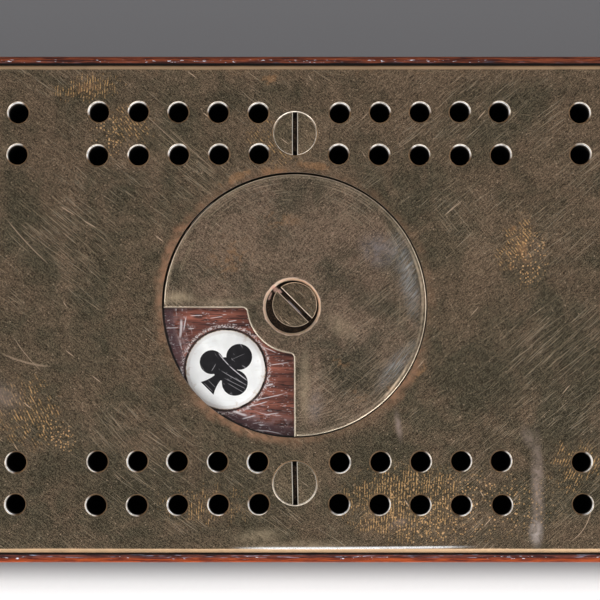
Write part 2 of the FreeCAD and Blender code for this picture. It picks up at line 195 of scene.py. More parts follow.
def soft_lamp(name, at, size, power):
    """A flat lamp that looks at the box, size (across, along) in metres."""
    lamp = bpy.data.objects.new(name, bpy.data.lights.new(name, "AREA"))
    lamp.data.shape = "RECTANGLE"
    lamp.data.size, lamp.data.size_y = size
    lamp.data.energy = power
    lamp.location = at
    aim = BOX_MIDDLE - Vector(at)
    lamp.rotation_euler = aim.to_track_quat("-Z", "Y").to_euler()
    bpy.context.scene.collection.objects.link(lamp)


soft_lamp("lamp_front_right", (0.66, -0.76, 0.56), (0.75, 0.22), 6.5)
soft_lamp("lamp_front_left", (-0.75, -0.65, 0.60), (0.35, 0.3), 3)
soft_lamp("lamp_front_high", (0.06, -0.60, 0.95), (0.45, 0.07), 1.8)
soft_lamp("lamp_left", (-1.0, 0.15, 0.75), (0.4, 0.4), 4)
soft_lamp("lamp_right", (1.0, 0.15, 0.75), (0.4, 0.4), 4)

viewpoint = bpy.data.objects.new("viewpoint", bpy.data.cameras.new("viewpoint"))
viewpoint.data.sensor_width = 36
viewpoint.data.lens = 140.6
viewpoint.data.clip_start = 0.01
viewpoint.location = (0.00014, -0.0181, 0.4132)
looked_at = Vector((0.00014, 0.00122, 0.0447))
gaze = looked_at - viewpoint.location
viewpoint.rotation_euler = gaze.to_track_quat("-Z", "Y").to_euler()
bpy.context.scene.collection.objects.link(viewpoint)
bpy.context.scene.camera = viewpoint

# ---------------------------------------------------------------------------------------------
# Case boards
# Two long sides mitred to an end board, with a rail and a sill round the drawer. They are
# rosewood, glued and then French polished, so the grain runs along each board under a thin gloss.

ROSEWOOD = ((0.018, 0.006, 0.004), (0.080, 0.022, 0.012), (0.20, 0.055, 0.024))
HALF_LENGTH, HALF_WIDTH = 125, 40
ALONG = (0, 0, 0)
ACROSS = (0, 0, math.pi / 2)


def stretch(place, *scales):
    """The place scaled along each axis, so that a pattern on it runs one way."""
    return place.sketch.node("ShaderNodeVectorMath", {"operation": "MULTIPLY"}, {0: place, 1: scales})


def raised(height, strength, distance):
    """Relief whose height, from 0 to 1, stands for that distance in metres."""
    values = {"Strength": strength, "Distance": distance, "Height": height}
    return height.sketch.node("ShaderNodeBump", {}, values)


def toned(share, *stops):
    """Colours that run into one another, each a place on the share with its colour."""
    return share.sketch.node("ShaderNodeValToRGB", {"stops": stops}, {"Fac": share})


def timber(name, turn, tones, gloss=0.30, coat=0.15, ring_size=0.16, pore_tone=0.35, rim=False):
    """Wood whose grain runs along X, or along Y once turned. A rim gets knocks and grime round the plate, and
    painted light: a lit front arris, bluish glints, a dark sheen on its inner band, and a near-black line at
    the plate.
    """
    material, sketch, place = new_finish(name)
    dark, mid, light = tones
    turned = {"Vector": place, "Rotation": turn}
    along = sketch.node("ShaderNodeMapping", {"vector_type": "POINT"}, turned)
    boards = stretch(along, 0.055, 1, 1)
    growth = grain(boards, ring_size, 5.0, 1.6, 0.6)
    streaks = grain(boards, ring_size * 9, 3.0, 0.4)
    share = (growth * 0.75 + streaks * 0.35).rise(0.33, 0.78)
    tone = toned(share, (0.0, dark), (0.42, mid), (1.0, light))
    pores = grain(stretch(along, 0.28, 3.4, 3.4), 1.0, 1.0).rise(0.63, 0.70)
    tone = blend(pores * 0.8, tone, tuple(c * pore_tone for c in dark))
    shine = coat
    if rim:
        across, depth, height = axes(place)
        outward = abs(across) - HALF_LENGTH + HALF_WIDTH | abs(depth)
        high = height.rise(42.6, 43.4)
        front = depth.rise(-5, -30) * 0.8 + 0.2
        threads = grain(stretch(along, 0.22, 3.6, 3.6), 1.0, 4.0, 0.5, 0.7)
        red = blend(threads.rise(0.36, 0.68), (0.016, 0.004, 0.004), (0.20, 0.050, 0.022))
        tone = blend(high * 0.9, tone, red)
        # Painted: the rim's inner band, strongest at the front, goes dark violet-brown. This stands for grime
        # at the joint and for a sheen of the gloss.
        inner = outward.rise(39.30, 39.18) * high * front
        purple_grime_and_sheen = blend(threads.rise(0.40, 0.62), (0.036, 0.010, 0.011), (0.17, 0.050, 0.036))
        tone = blend(inner * 0.8, tone, purple_grime_and_sheen)
        # Painted light: the rounded outer arris is lit orange-red, most at the front.
        arris = outward.rise(39.22, 39.38) * high
        lit = blend(threads.rise(0.36, 0.62), (0.085, 0.008, 0.002), (0.33, 0.055, 0.008))
        tone = blend(arris * front, tone, lit)
        # Knocks along the arris, painted bluish white as glints of light.
        knocks = grain(place, 0.10, 2.0).rise(0.47, 0.57)
        chips_and_glints = grain(stretch(along, 1.1, 5.5, 5.5), 1.0, 2.0).rise(0.625, 0.69) * knocks
        chips_and_glints = chips_and_glints * outward.rise(38.9, 39.05) * outward.rise(39.55, 39.35) * high
        tone = blend(chips_and_glints, tone, (0.74, 0.74, 0.82))
        glints = grain(stretch(along, 0.35, 6.0, 6.0), 1.0, 2.0)
        tone = blend(glints.rise(0.59, 0.68) * inner * 0.75, tone, (0.36, 0.38, 0.50))
        # The band where the rim meets the plate is painted near black.
        dark_edge_band = outward.rise(38.98 - front * 0.13, 38.84 - front * 0.13) * high
        tone = blend(dark_edge_band, tone, (0.004, 0.003, 0.003))
        shine = coat * (1 - high * 0.85)
    close_finish(
        sketch,
        {
            "Base Color": tone,
            "Roughness": gloss + growth * 0.12,
            "Normal": raised(1 - pores, 0.35, 0.00006),
            "Specular IOR Level": 0.16 if rim else 0.3,
            "Coat Weight": shine,
            "Coat Roughness": 0.12,
        },
    )
    return material


def dress(material, *names):
    """Gives a finish to solids that keep their own shape."""
    for name in names:
        for slot in solids[name].material_slots:
            slot.material = material


dress(timber("rosewood", ALONG, ROSEWOOD, rim=True), "side_back", "side_front")
rosewood_across = timber("rosewood_across", ACROSS, ROSEWOOD, rim=True)
dress(rosewood_across, "end_board", "front_rail", "front_sill", "drawer_front")

# ---------------------------------------------------------------------------------------------
# Base and deck boards
# Plain mahogany, let into the sides. The deck shows in the indicator's window, where the disc has
# scuffed it in arcs round the pivot. Towards the pocket's wall it is painted darker as shade, and near black
# in the corner.

PIVOT = (-0.7, 0.5)
SEAT_Z = 42.3
PLATE_Z = 44.7
POCKET_RADIUS = 20.92
ORBIT = 14.95
# Each suit's bearing from the pivot, and how far it leans, in degrees.
SUIT_BEARINGS = {"club": (223, 2.3), "heart": (135, 0), "spade": (45, 0), "diamond": (315, 0)}
MARK_DEPTH = 400  # a mark reaches through the whole piece under it


def seat_of(bearing):
    """The middle of the roundel that lies on that bearing from the pivot."""
    angle = math.radians(bearing)
    return PIVOT[0] + ORBIT * math.cos(angle), PIVOT[1] + ORBIT * math.sin(angle)


def shifted(place, scales, shift):
    """The place scaled along each axis and then moved."""
    values = {0: place, 1: scales, 2: shift}
    return place.sketch.node("ShaderNodeVectorMath", {"operation": "MULTIPLY_ADD"}, values)


def length_of(place):
    return place.sketch.node("ShaderNodeVectorMath", {"operation": "LENGTH"}, {0: place}, out="Value")


def from_pivot(place, x=PIVOT[0], y=PIVOT[1]):
    """How far a place lies from an upright axis, in millimetres."""
    return length_of(shifted(place, (1, 1, 0), (-x, -y, 0)))


def lined_up(place, direction, scales, middle=(0, 0, 0)):
    """The place as a mark sees it: from the mark's middle, along its direction, in its own sizes."""
    values = {"Vector": place, "Location": middle, "Scale": scales}
    values["Rotation"] = (0, 0, math.radians(direction))
    return place.sketch.node("ShaderNodeMapping", {"vector_type": "TEXTURE"}, values)


base_tones = ((0.05, 0.016, 0.010), (0.13, 0.038, 0.022), (0.22, 0.07, 0.04))
dress(timber("base_mahogany", ALONG, base_tones), "base_board")


def gouge(place, x, y, length, direction, bow, width):
    """One scratch, its middle at (x, y), bowed sideways by bow millimetres at its ends."""
    local = lined_up(place, direction, (length / 2, width, MARK_DEPTH), (x, y, PLATE_Z))
    run, side, _ = axes(local)
    off = abs(side - run * run * (bow / width))
    return off.rise(1.0, 0.2) * abs(run).rise(1.0, 0.55)


UNSEEN = (0, 0, 1e-6)


def laid(place, marks, draw):
    """Marks drawn one on another, each a tuple of sizes with its strength last. Each place leans by
    nothing that shows on the mark before it, so that a finish holds few of them at a time."""
    total = 0.0
    for *sizes, strength in marks:
        total = draw(place, *sizes) * strength | total
        place = shifted(total, UNSEEN, place)
    return total


def arced(place, spacing, wander, sway):
    """A place for patterns that run in uneven arcs round the pivot."""
    along = grain(place, wander, 0.0) * sway
    return place.sketch.node("ShaderNodeCombineXYZ", {}, {"X": from_pivot(place) * spacing, "Y": along})


deck_wood, sketch, place = new_finish("deck_mahogany")
growth = grain(stretch(place, 0.13, 1.5, 1), 0.6, 5.0, 0.6, 0.65)
mahogany = [(0.34, (0.042, 0.014, 0.012)), (0.5, (0.150, 0.047, 0.031)), (0.68, (0.34, 0.115, 0.076))]
tone = toned(growth, *mahogany)
pores = grain(stretch(place, 0.45, 4.5, 4.5), 1.0, 2.0, 0.3).rise(0.56, 0.62)
tone = blend(pores * 0.8, tone, (0.014, 0.006, 0.006))
reach = from_pivot(place)
# Painted shade: a darker band along the pocket's wall.
dark_edge_band = reach.rise(19.0, 19.5) * (0.5 + growth * 0.5)
tone = blend(dark_edge_band, tone, (0.070, 0.040, 0.048))
hazed = reach.rise(16.5, 19.0) * reach.rise(20.0, 18.8) * grain(place, 0.9, 3.0).rise(0.40, 0.58)
tone = blend(hazed * 0.5, tone, (0.27, 0.17, 0.165))
arcs = grain(arced(place, 3.0, 0.12, 14), 1.0, 3.0).rise(0.58, 0.66)
arcs = arcs * grain(place, 0.35, 3.0).rise(0.44, 0.60) * reach.rise(15.5, 18.5)
flecks = grain(stretch(place, 1.6, 5.5, 5.5), 1.0, 2.0, 0.6).rise(0.61, 0.69)
flecks = flecks * grain(place, 0.4, 2.0).rise(0.38, 0.58)
scratches = [
    (-20.16, -3.08, 2.3, 2, 0.0, 0.10, 1.0),
    (-18.7, -3.2, 3.4, 86, 0.1, 0.28, 1.0),
    (-18.1, -2.4, 2.6, 80, 0.0, 0.12, 1.0),
    (-17.1, -3.2, 1.1, 4, 0.0, 0.09, 1.0),
    (-16.4, -1.12, 2.0, 3, 0.0, 0.08, 1.0),
    (-13.1, -1.4, 2.3, 8, 0.0, 0.07, 1.0),
    (-10.55, -1.98, 1.5, 9, 0.0, 0.10, 1.0),
    (-3.07, -8.75, 3.4, 8, 0.0, 0.09, 1.0),
    (-4.93, -12.2, 1.6, 10, 0.0, 0.11, 1.0),
    (-4.98, -14.1, 6.4, 11.5, 0.1, 0.10, 1.0),
    (-6.6, -15.2, 3.8, 14.5, 0.1, 0.10, 1.0),
    (-4.36, -16.7, 2.6, 8, 0.0, 0.11, 1.0),
    (-9.45, -16.6, 2.9, -20, 0.1, 0.26, 1.0),
    (-7.96, -17.2, 2.5, 15, 0.0, 0.16, 1.0),
    (-4.55, -6.6, 2.4, -24, 0.0, 0.09, 1.0),
    (-14.0, -19.0, 4.0, -33, -0.15, 0.12, 1.0),
    (-11.0, -19.3, 3.0, -26, -0.1, 0.10, 1.0),
    (-5.0, -19.4, 5.0, -8, -0.2, 0.10, 1.0),
]
worn = laid(place, scratches, gouge) * (0.45 + flecks * 0.2 + growth * 0.5)
worn = worn | (arcs * 0.65) | (flecks * 0.7)
tone = blend(worn * 0.85, tone, (0.82, 0.76, 0.78))
# Painted shade: near black in the corner at the foot of the pocket's wall.
corner = (reach + grain(place, 1.5, 2.0) * 0.3).rise(20.70, 20.90)
tone = blend(corner, tone, (0.006, 0.005, 0.005))
scuffs = grain(place, 3.4, 3.0, 0.0, 0.7)
for bearing, _ in SUIT_BEARINGS.values():
    from_seat = from_pivot(place, *seat_of(bearing)) - (scuffs - 0.5) * 0.8
    tone = blend(from_seat.rise(7.3, 6.7) * scuffs.rise(0.47, 0.56) * 0.8, tone, (0.74, 0.66, 0.64))
    gap = from_seat.rise(6.72, 6.58) * (0.5 + scuffs.rise(0.42, 0.50) * 0.5)
    tone = blend(gap, tone, (0.030, 0.016, 0.014))
height = axes(place)[2]
# Painted shade: faces below the seat, which are the walls of the peg holes, go near black.
below = height.rise(SEAT_Z - 0.02, SEAT_Z - 0.4) * height.rise(33.35, 33.6)
tone = blend(below * 0.95, tone, (0.003, 0.003, 0.003))
close_finish(
    sketch,
    {
        "Base Color": tone,
        "Roughness": 0.36 + below * 0.6,
        "Normal": raised(growth - worn * 0.4, 0.5, 0.00008),
        "Specular IOR Level": 0.25,
        "Coat Weight": (1 - below) * 0.15,
    },
)
dress(deck_wood, "deck_board")

# ---------------------------------------------------------------------------------------------
# Baize
# A rectangle of green wool felt glued under the base. It is cut a little short of the case all
# round, and its cut edge is soft.

felt, sketch, place = new_finish("green_baize")
nap = grain(place, 3.5, 4.0, 0.5)
bald = grain(place, 0.05, 3.0).rise(0.5, 0.7)
tone = blend(nap, (0.010, 0.060, 0.026), (0.030, 0.135, 0.062))
tone = blend(bald * 0.35, tone, (0.06, 0.12, 0.06))
nap_relief = raised(nap, 0.8, 0.0002)
values = {"Base Color": tone, "Roughness": 0.95, "Normal": nap_relief, "Sheen Weight": 0.4}
close_finish(sketch, values)


def add_piece(name, mesh, body, stands_for):
    """A finished mesh as a piece that rides on its body, in place of the solid it stands for."""
    piece = bpy.data.objects.new(name, mesh)
    bpy.context.scene.collection.objects.link(piece)
    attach(piece, body)
    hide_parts(stands_for)
    return piece


def loft(form, rings):
    """A closed skin over rings of corners, from the lowest ring up."""
    form.faces.new(reversed(rings[0]))
    for lower, upper in zip(rings, rings[1:]):
        for i in range(len(lower)):
            j = (i + 1) % len(lower)
            form.faces.new((lower[i], lower[j], upper[j], upper[i]))
    form.faces.new(rings[-1])


def to_mesh(form, name):
    mesh = bpy.data.meshes.new(name)
    form.to_mesh(mesh)
    form.free()
    return mesh


def rounded_slab(name, half_x, half_y, low, high, rounding, corner, steps, wobble, span):
    """A slab in millimetres whose top edge is rounded over, with edges that waver like handwork."""
    outline = []
    for sx, sy, start in ((1, 1, 0), (-1, 1, 90), (-1, -1, 180), (1, -1, 270)):
        for i in range(6):
            angle = math.radians(start + 18 * i)
            out = Vector((math.cos(angle), math.sin(angle), 0))
            middle = Vector((sx * (half_x - corner), sy * (half_y - corner), 0))
            outline.append((middle + out * corner, out))
    points = []
    for i, (at, out) in enumerate(outline):
        after, out_after = outline[(i + 1) % len(outline)]
        count = max(1, round((after - at).length / span))
        for k in range(count):
            points.append((at.lerp(after, k / count), out.lerp(out_after, k / count).normalized()))
    form = bmesh.new()
    rings = []
    levels = [(low, 0.0)]
    for k in range(steps + 1):
        angle = math.pi / 2 * k / steps
        levels.append((high - rounding + rounding * math.sin(angle), rounding * (1 - math.cos(angle))))
    for level, inset in levels:
        ring = []
        for at, out in points:
            sway = wobble * noise.noise(at * 0.09) + wobble * 0.5 * noise.noise(at * 0.35)
            share = inset / rounding
            place = at - out * (inset + sway * share + abs(sway) * 0.3)
            ring.append(form.verts.new((place.x * MM, place.y * MM, level * MM)))
        rings.append(ring)
    loft(form, rings)
    return to_mesh(form, name)


LEVEL, SLOPING = 0.99999, 0.9995


def smoothed(mesh, angle, finish=None, crisp_top=False):
    """The mesh, smooth below that angle. A crisp top stays flat right up to its rounded edge."""
    if finish:
        mesh.materials.clear()
        mesh.materials.append(finish)
    mesh.polygons.foreach_set("use_smooth", [True] * len(mesh.polygons))
    mesh.set_sharp_from_angle(angle=math.radians(angle))
    if crisp_top:
        form = bmesh.new()
        form.from_mesh(mesh)
        for edge in form.edges:
            rises = [face.normal.z for face in edge.link_faces]
            if max(rises) > LEVEL and min(rises) < SLOPING:
                edge.smooth = False
        form.to_mesh(mesh)
        form.free()
    return mesh


CLOTH_X, CLOTH_Y, CLOTH_THICKNESS = HALF_LENGTH - 1, HALF_WIDTH - 1, 0.8
soft = {"rounding": 0.35, "corner": 0.6, "steps": 4, "wobble": 0.25, "span": 1.5}
cloth = rounded_slab("baize_cloth", CLOTH_X, CLOTH_Y, 0.0, CLOTH_THICKNESS, **soft)
baize = add_piece("baize_cloth", smoothed(cloth, 60, felt), "case", "baize")

# ---------------------------------------------------------------------------------------------
# Scoring plate
# Thick rolled brass, drilled by hand for four rows of pegs and bored for the indicator. Its upper
# edge is rounded over. A century of hands has browned it, and cleaning has left hairline scratches.
# Its edges and the far lips of its holes carry painted highlights, the lips glowing, and its recesses are
# painted dark as shade.

PLATE_X, PLATE_Y = 123.5, 38.5
PEG_HOLE = 3.175
PITCH = 6.35
INNER_ROW, OUTER_ROW = 24.2, 30.9
GAME_HOLE_X, GAME_HOLE_Y = 18 * PITCH, (INNER_ROW + OUTER_ROW) / 2
STRAY = 0.12
SIDE_SCREW_X, SIDE_SCREW_Y, END_SCREW_X = -0.65, 27.55, 113
OLIVE = (0.100, 0.083, 0.055)
UMBER = (0.156, 0.110, 0.073)
COPPER = (0.42, 0.23, 0.115)
TAN = (0.74, 0.45, 0.20)
PALE = (0.48, 0.43, 0.34)
GOLD_SHEEN = (0.56, 0.44, 0.29)
FROST_SHEEN = (0.50, 0.53, 0.54)
NICKED = (0.85, 0.62, 0.44)
BRIGHT = (0.95, 0.88, 0.78)
RECESS_SHADE_TONE = (0.010, 0.008, 0.007)


def spot(place, x, y, across, along, turn):
    """A soft oval mask at (x, y) millimetres, half sizes across and along, turned by that angle."""
    return length_of(lined_up(place, turn, (across, along, MARK_DEPTH), (x, y, PLATE_Z))).rise(1, 0)


def rubbed(place, direction, length, width):
    """The place stretched for marks that run one way, each about length by width millimetres."""
    return lined_up(place, direction, (length, width, 1000))


def brushed(place, direction, length, width, detail=2.0):
    return grain(rubbed(place, direction, length, width), 1.0, detail, 0.1)


def specks(place, size, share, scale=1.0):
    """Small spots, one in each cell at most, a random share of which show."""
    values = {"Vector": place, "Scale": scale, "Randomness": 1.0}
    cells = place.sketch.node("ShaderNodeTexVoronoi", {}, values)
    chance = Shade(place.sketch, cells.socket.node.outputs["Color"])
    picked = place.sketch.node("ShaderNodeSeparateColor", {}, {0: chance})
    return cells.rise(size, size * 0.45) * picked.rise(1 - share, 1 - share + 0.02)


def hairline(place, turn, length):
    return brushed(place, turn, length, 0.125, 1.0)


def finger_marks(place, ragged, prints):
    """Etched finger marks: ridges 0.4 mm apart, broken into dashes. Gives the film and the ridges."""
    film, ridges = 0.0, 0.0
    for run, patches in prints:
        area = laid(place, patches, spot)
        area = (area + (ragged - 0.5) * 0.7).rise(0.15, 0.70) * area.rise(0.0, 0.15)
        place = shifted(area, UNSEEN, place)
        ridge = {"Vector": rubbed(place, run, 1.0, 1.0), "Scale": 0.76, "Distortion": 11.0}
        ridge |= {"Detail": 2.0, "Detail Scale": 0.16}
        bands = {"wave_type": "BANDS", "bands_direction": "Y"}
        waves = place.sketch.node("ShaderNodeTexWave", bands, ridge)
        rows = area * waves.rise(0.35, 0.75) * brushed(place, run, 0.62, 0.34).rise(0.47, 0.55)
        film = area | film
        ridges = rows | ridges
        place = shifted(ridges, UNSEEN, place)
    return film, ridges


def aged_brass(
    name,
    blooms=(),
    dulls=(),
    stains=(),
    prints=(),
    dotted=(),
    bundles=(),
    gouges=(),
    glints=(),
    combed_sheen=(),
    turned=0.0,
    recess_shade=None,
    sunk=False,
    edge=(0.93, 0.55, 0.5),
    swept=(2.0, 16.0),
    gloss=0.36,
    cool=OLIVE,
    ruddy=UMBER,
    worn=BRIGHT,
    bored=None,
    drilled=False,
):
    """Browned brass: a mottled olive ground under cloth marks, stains, specks and bright nicks, with painted
    sheens, highlights and glowing hole lips, and with its recesses painted dark as shade.
    """
    material, sketch, place = new_finish(name)
    across, depth, height = axes(place)
    cloud = grain(place, 0.07, 3.0, 1.2)
    mottle = grain(place, 0.22, 5.0, 0.8, 0.6)
    tooth = grain(place, 8.0, 2.0, 0.0, 0.75)
    bloom = laid(place, blooms, spot)
    dull = laid(place, dulls, spot)
    warm = (cloud * 0.5 + mottle * 0.5 + bloom * 0.14 - dull * 0.14).rise(0.36, 0.64)
    tone = blend(warm, cool, ruddy)

    right = (across + cloud * 16 - 8).rise(*swept)
    rub = brushed(place, -40, 1.6, 0.085) * (1 - right) + brushed(place, 42, 1.6, 0.085) * right
    shading = 0.885 + (rub - 0.5) * 3.0 + (tooth - 0.5) * 7.0 + (mottle - 0.5) * 0.5 + (bloom - dull) * 0.20
    shaded = {0: tone, "Scale": shading | 0.25}
    tone = sketch.node("ShaderNodeVectorMath", {"operation": "SCALE"}, shaded)
    ragged = grain(place, 0.6, 4.0, 1.0, 0.7).rise(0.36, 0.60)

    patches = grain(place, 0.08, 2.0, 1.0)
    left_lines = laid(place, [(-41, 6.0, 1), (-35, 10.0, 1)], hairline).rise(0.67, 0.71)
    right_lines = laid(place, [(43, 6.0, 1), (36, 9.0, 1)], hairline).rise(0.65, 0.70)
    lines = left_lines * (1 - right) + right_lines * right
    lines = lines * (0.15 + patches.rise(0.43, 0.60) * 0.85)
    lines = laid(place, [(-62, 5.0, 1), (22, 6.0, 1), (-12, 8.0, 1)], hairline).rise(0.71, 0.76) * 0.6 | lines
    for direction, sheaves in bundles:
        sheaf = brushed(place, direction, 7.0, 0.14, 1.0).rise(0.60, 0.67)
        lines = laid(place, sheaves, spot) * sheaf | lines
    if turned:
        arcs = grain(arced(place, 4.0, 0.08, 6), 1.0, 2.0).rise(0.60, 0.70)
        lines = lines | (arcs * from_pivot(place).rise(12, 20) * turned)
    straw = blend(patches.rise(0.35, 0.65), (0.38, 0.34, 0.22), PALE)
    tone = blend(lines * 0.66, tone, blend(tooth.rise(0.42, 0.58), straw, (0.55, 0.38, 0.24)))

    if prints:
        film, ridges = finger_marks(place, ragged, prints)
        tone = blend(film * 0.34, tone, (0.085, 0.060, 0.038))
        tone = blend(ridges * (0.35 + tooth.rise(0.40, 0.56) * 0.5), tone, TAN)
    for tint, patches_of in stains:
        share = laid(place, patches_of, spot)
        crusted = (share + ragged * 0.7 - 0.45).rise(0.20, 0.75) * (0.25 + tooth.rise(0.42, 0.56) * 0.45)
        tone = blend(crusted if tint == COPPER else share * (0.35 + ragged * 0.65), tone, tint)
    if dotted:
        where = laid(place, dotted, spot).rise(0.02, 0.45)
        dots = specks(place, 0.40, 0.45, 2.6) | specks(place, 0.32, 0.30, 1.5)
        tone = blend(dots * where * 0.9, tone, (0.80, 0.48, 0.22))
    nicks = specks(rubbed(place, -38, 6.0, 0.45), 0.20, 0.045) * (1 - right)
    nicks = nicks | (specks(rubbed(place, 49, 6.0, 0.45), 0.20, 0.05) * right)
    nicks = nicks | specks(rubbed(place, -58, 5.0, 0.5), 0.18, 0.02)
    nicks = nicks | (specks(place, 0.20, 0.24, 1.5) * 0.6)
    nicks = laid(place, gouges, gouge) | nicks if gouges else nicks
    tone = blend(nicks * 0.6, tone, NICKED)

    normal = sketch.node("ShaderNodeNewGeometry", out="Normal")
    facing = axes(normal)[2]
    level, steep, strength = edge
    if strength:
        # Edges that turn away from the top take the worn tint: rubbed brass, and also a painted highlight.
        worn_edge_highlight = abs(facing).rise(level, steep) * (0.65 + mottle * 0.7) * strength
        tone = blend(worn_edge_highlight, tone, worn)
    walls, cut = 0.0, 0.0
    if drilled:
        outwards = shifted(place, (1, 1, 0), (0, 20, 0))
        outwards = sketch.node("ShaderNodeVectorMath", {"operation": "NORMALIZE"}, {0: outwards})
        between = {0: normal, 1: outwards}
        far = sketch.node("ShaderNodeVectorMath", {"operation": "DOT_PRODUCT"}, between, out="Value")
        far = far.rise(-0.15, -0.62)
        # Painted light and shade on the hole walls. They are light near the top on each hole's far side from
        # a point 20 mm before the plate's middle, and near black elsewhere.
        walls = abs(facing).rise(0.50, 0.15)
        lit = height.rise(42.6, 44.2) * (0.10 + far * 0.90)
        tone = blend(walls, tone, blend(lit, (0.03, 0.02, 0.02), (0.42, 0.36, 0.29)))
        # Painted highlight: on each hole's far side the lip is painted pale and made to glow, in broken
        # patches.
        mouth = abs(facing).rise(0.97, 0.86) * from_pivot(place).rise(22.0, 22.4)
        mouth = mouth * abs(depth).rise(35.5, 35.0) * height.rise(44.0, 44.4)
        glow_breaks = grain(place, 1.7, 3.0, 0.0, 0.6).rise(0.34, 0.62)
        cut = mouth * far * (0.25 + glow_breaks * 0.75)
        tone = blend(mouth * far, tone, (0.95, 0.86, 0.76))
    if sunk:
        # Painted shade: the screw seats and the ring of the pocket's wall go near black.
        folded = sketch.node("ShaderNodeVectorMath", {"operation": "ABSOLUTE"}, {0: place})
        seats = from_pivot(folded, -SIDE_SCREW_X, SIDE_SCREW_Y).rise(4.8, 4.6)
        seats = seats | from_pivot(folded, END_SCREW_X, 0).rise(4.8, 4.6)
        reach = from_pivot(place)
        seats = seats | (reach.rise(20.3, 20.5) * reach.rise(21.6, 21.4))
        seats = seats * height.rise(44.62, 44.50)
        tone = blend(seats, tone, RECESS_SHADE_TONE)
        walls = walls * (1 - seats)
        cut = cut * (1 - seats)
    if bored:
        x, y, lip_radius = bored
        lip = from_pivot(place, x, y) + (grain(place, 0.8, 3.0) - 0.5) * 0.35
        lip = lip.rise(lip_radius + 0.10, lip_radius - 0.08) * height.rise(44.20, 44.45)
        tone = blend(lip * (0.45 + ragged * 0.5), tone, (0.98, 0.72, 0.56))
    if recess_shade:
        # Painted shade: faces below the given height go dark, flecked brown.
        shaded_depth = height.rise(*recess_shade)
        ribbed = tooth.rise(0.50, 0.66) * ragged
        tone = blend(shaded_depth * 0.97, tone, blend(ribbed * 0.9, RECESS_SHADE_TONE, (0.20, 0.12, 0.075)))
    # Painted sheen: pale combing where hairlines catch the light.
    for tint, direction, patches_of in combed_sheen:
        comb = brushed(place, direction, 3.0, 0.12, 1.0).rise(0.47, 0.62)
        tone = blend(laid(place, patches_of, spot) * comb, tone, tint)
    for tint, streaks in glints:
        shown = laid(place, streaks, gouge)
        tone = blend(shown * (0.35 + tooth.rise(0.36, 0.55) * 0.65), tone, tint)

    worked = raised(tooth * 0.6 + mottle * 0.5 + rub * 0.5 - nicks, 0.35, 0.00004)
    roughness = gloss + mottle * 0.16 - lines * 0.06
    values = {"Base Color": tone, "Metallic": 1.0, "Roughness": roughness, "Normal": worked}
    if drilled:
        values["Metallic"] = 1 - walls * 0.5
        # The far lips glow with painted light; they are no lamp.
        glow = blend(height.rise(44.30, 44.66), (0.74, 0.81, 0.90), (0.72, 0.62, 0.50))
        values["Emission Color"] = blend(cut, (0, 0, 0), glow)
        values["Emission Strength"] = 1.0
    close_finish(sketch, values)
    return material


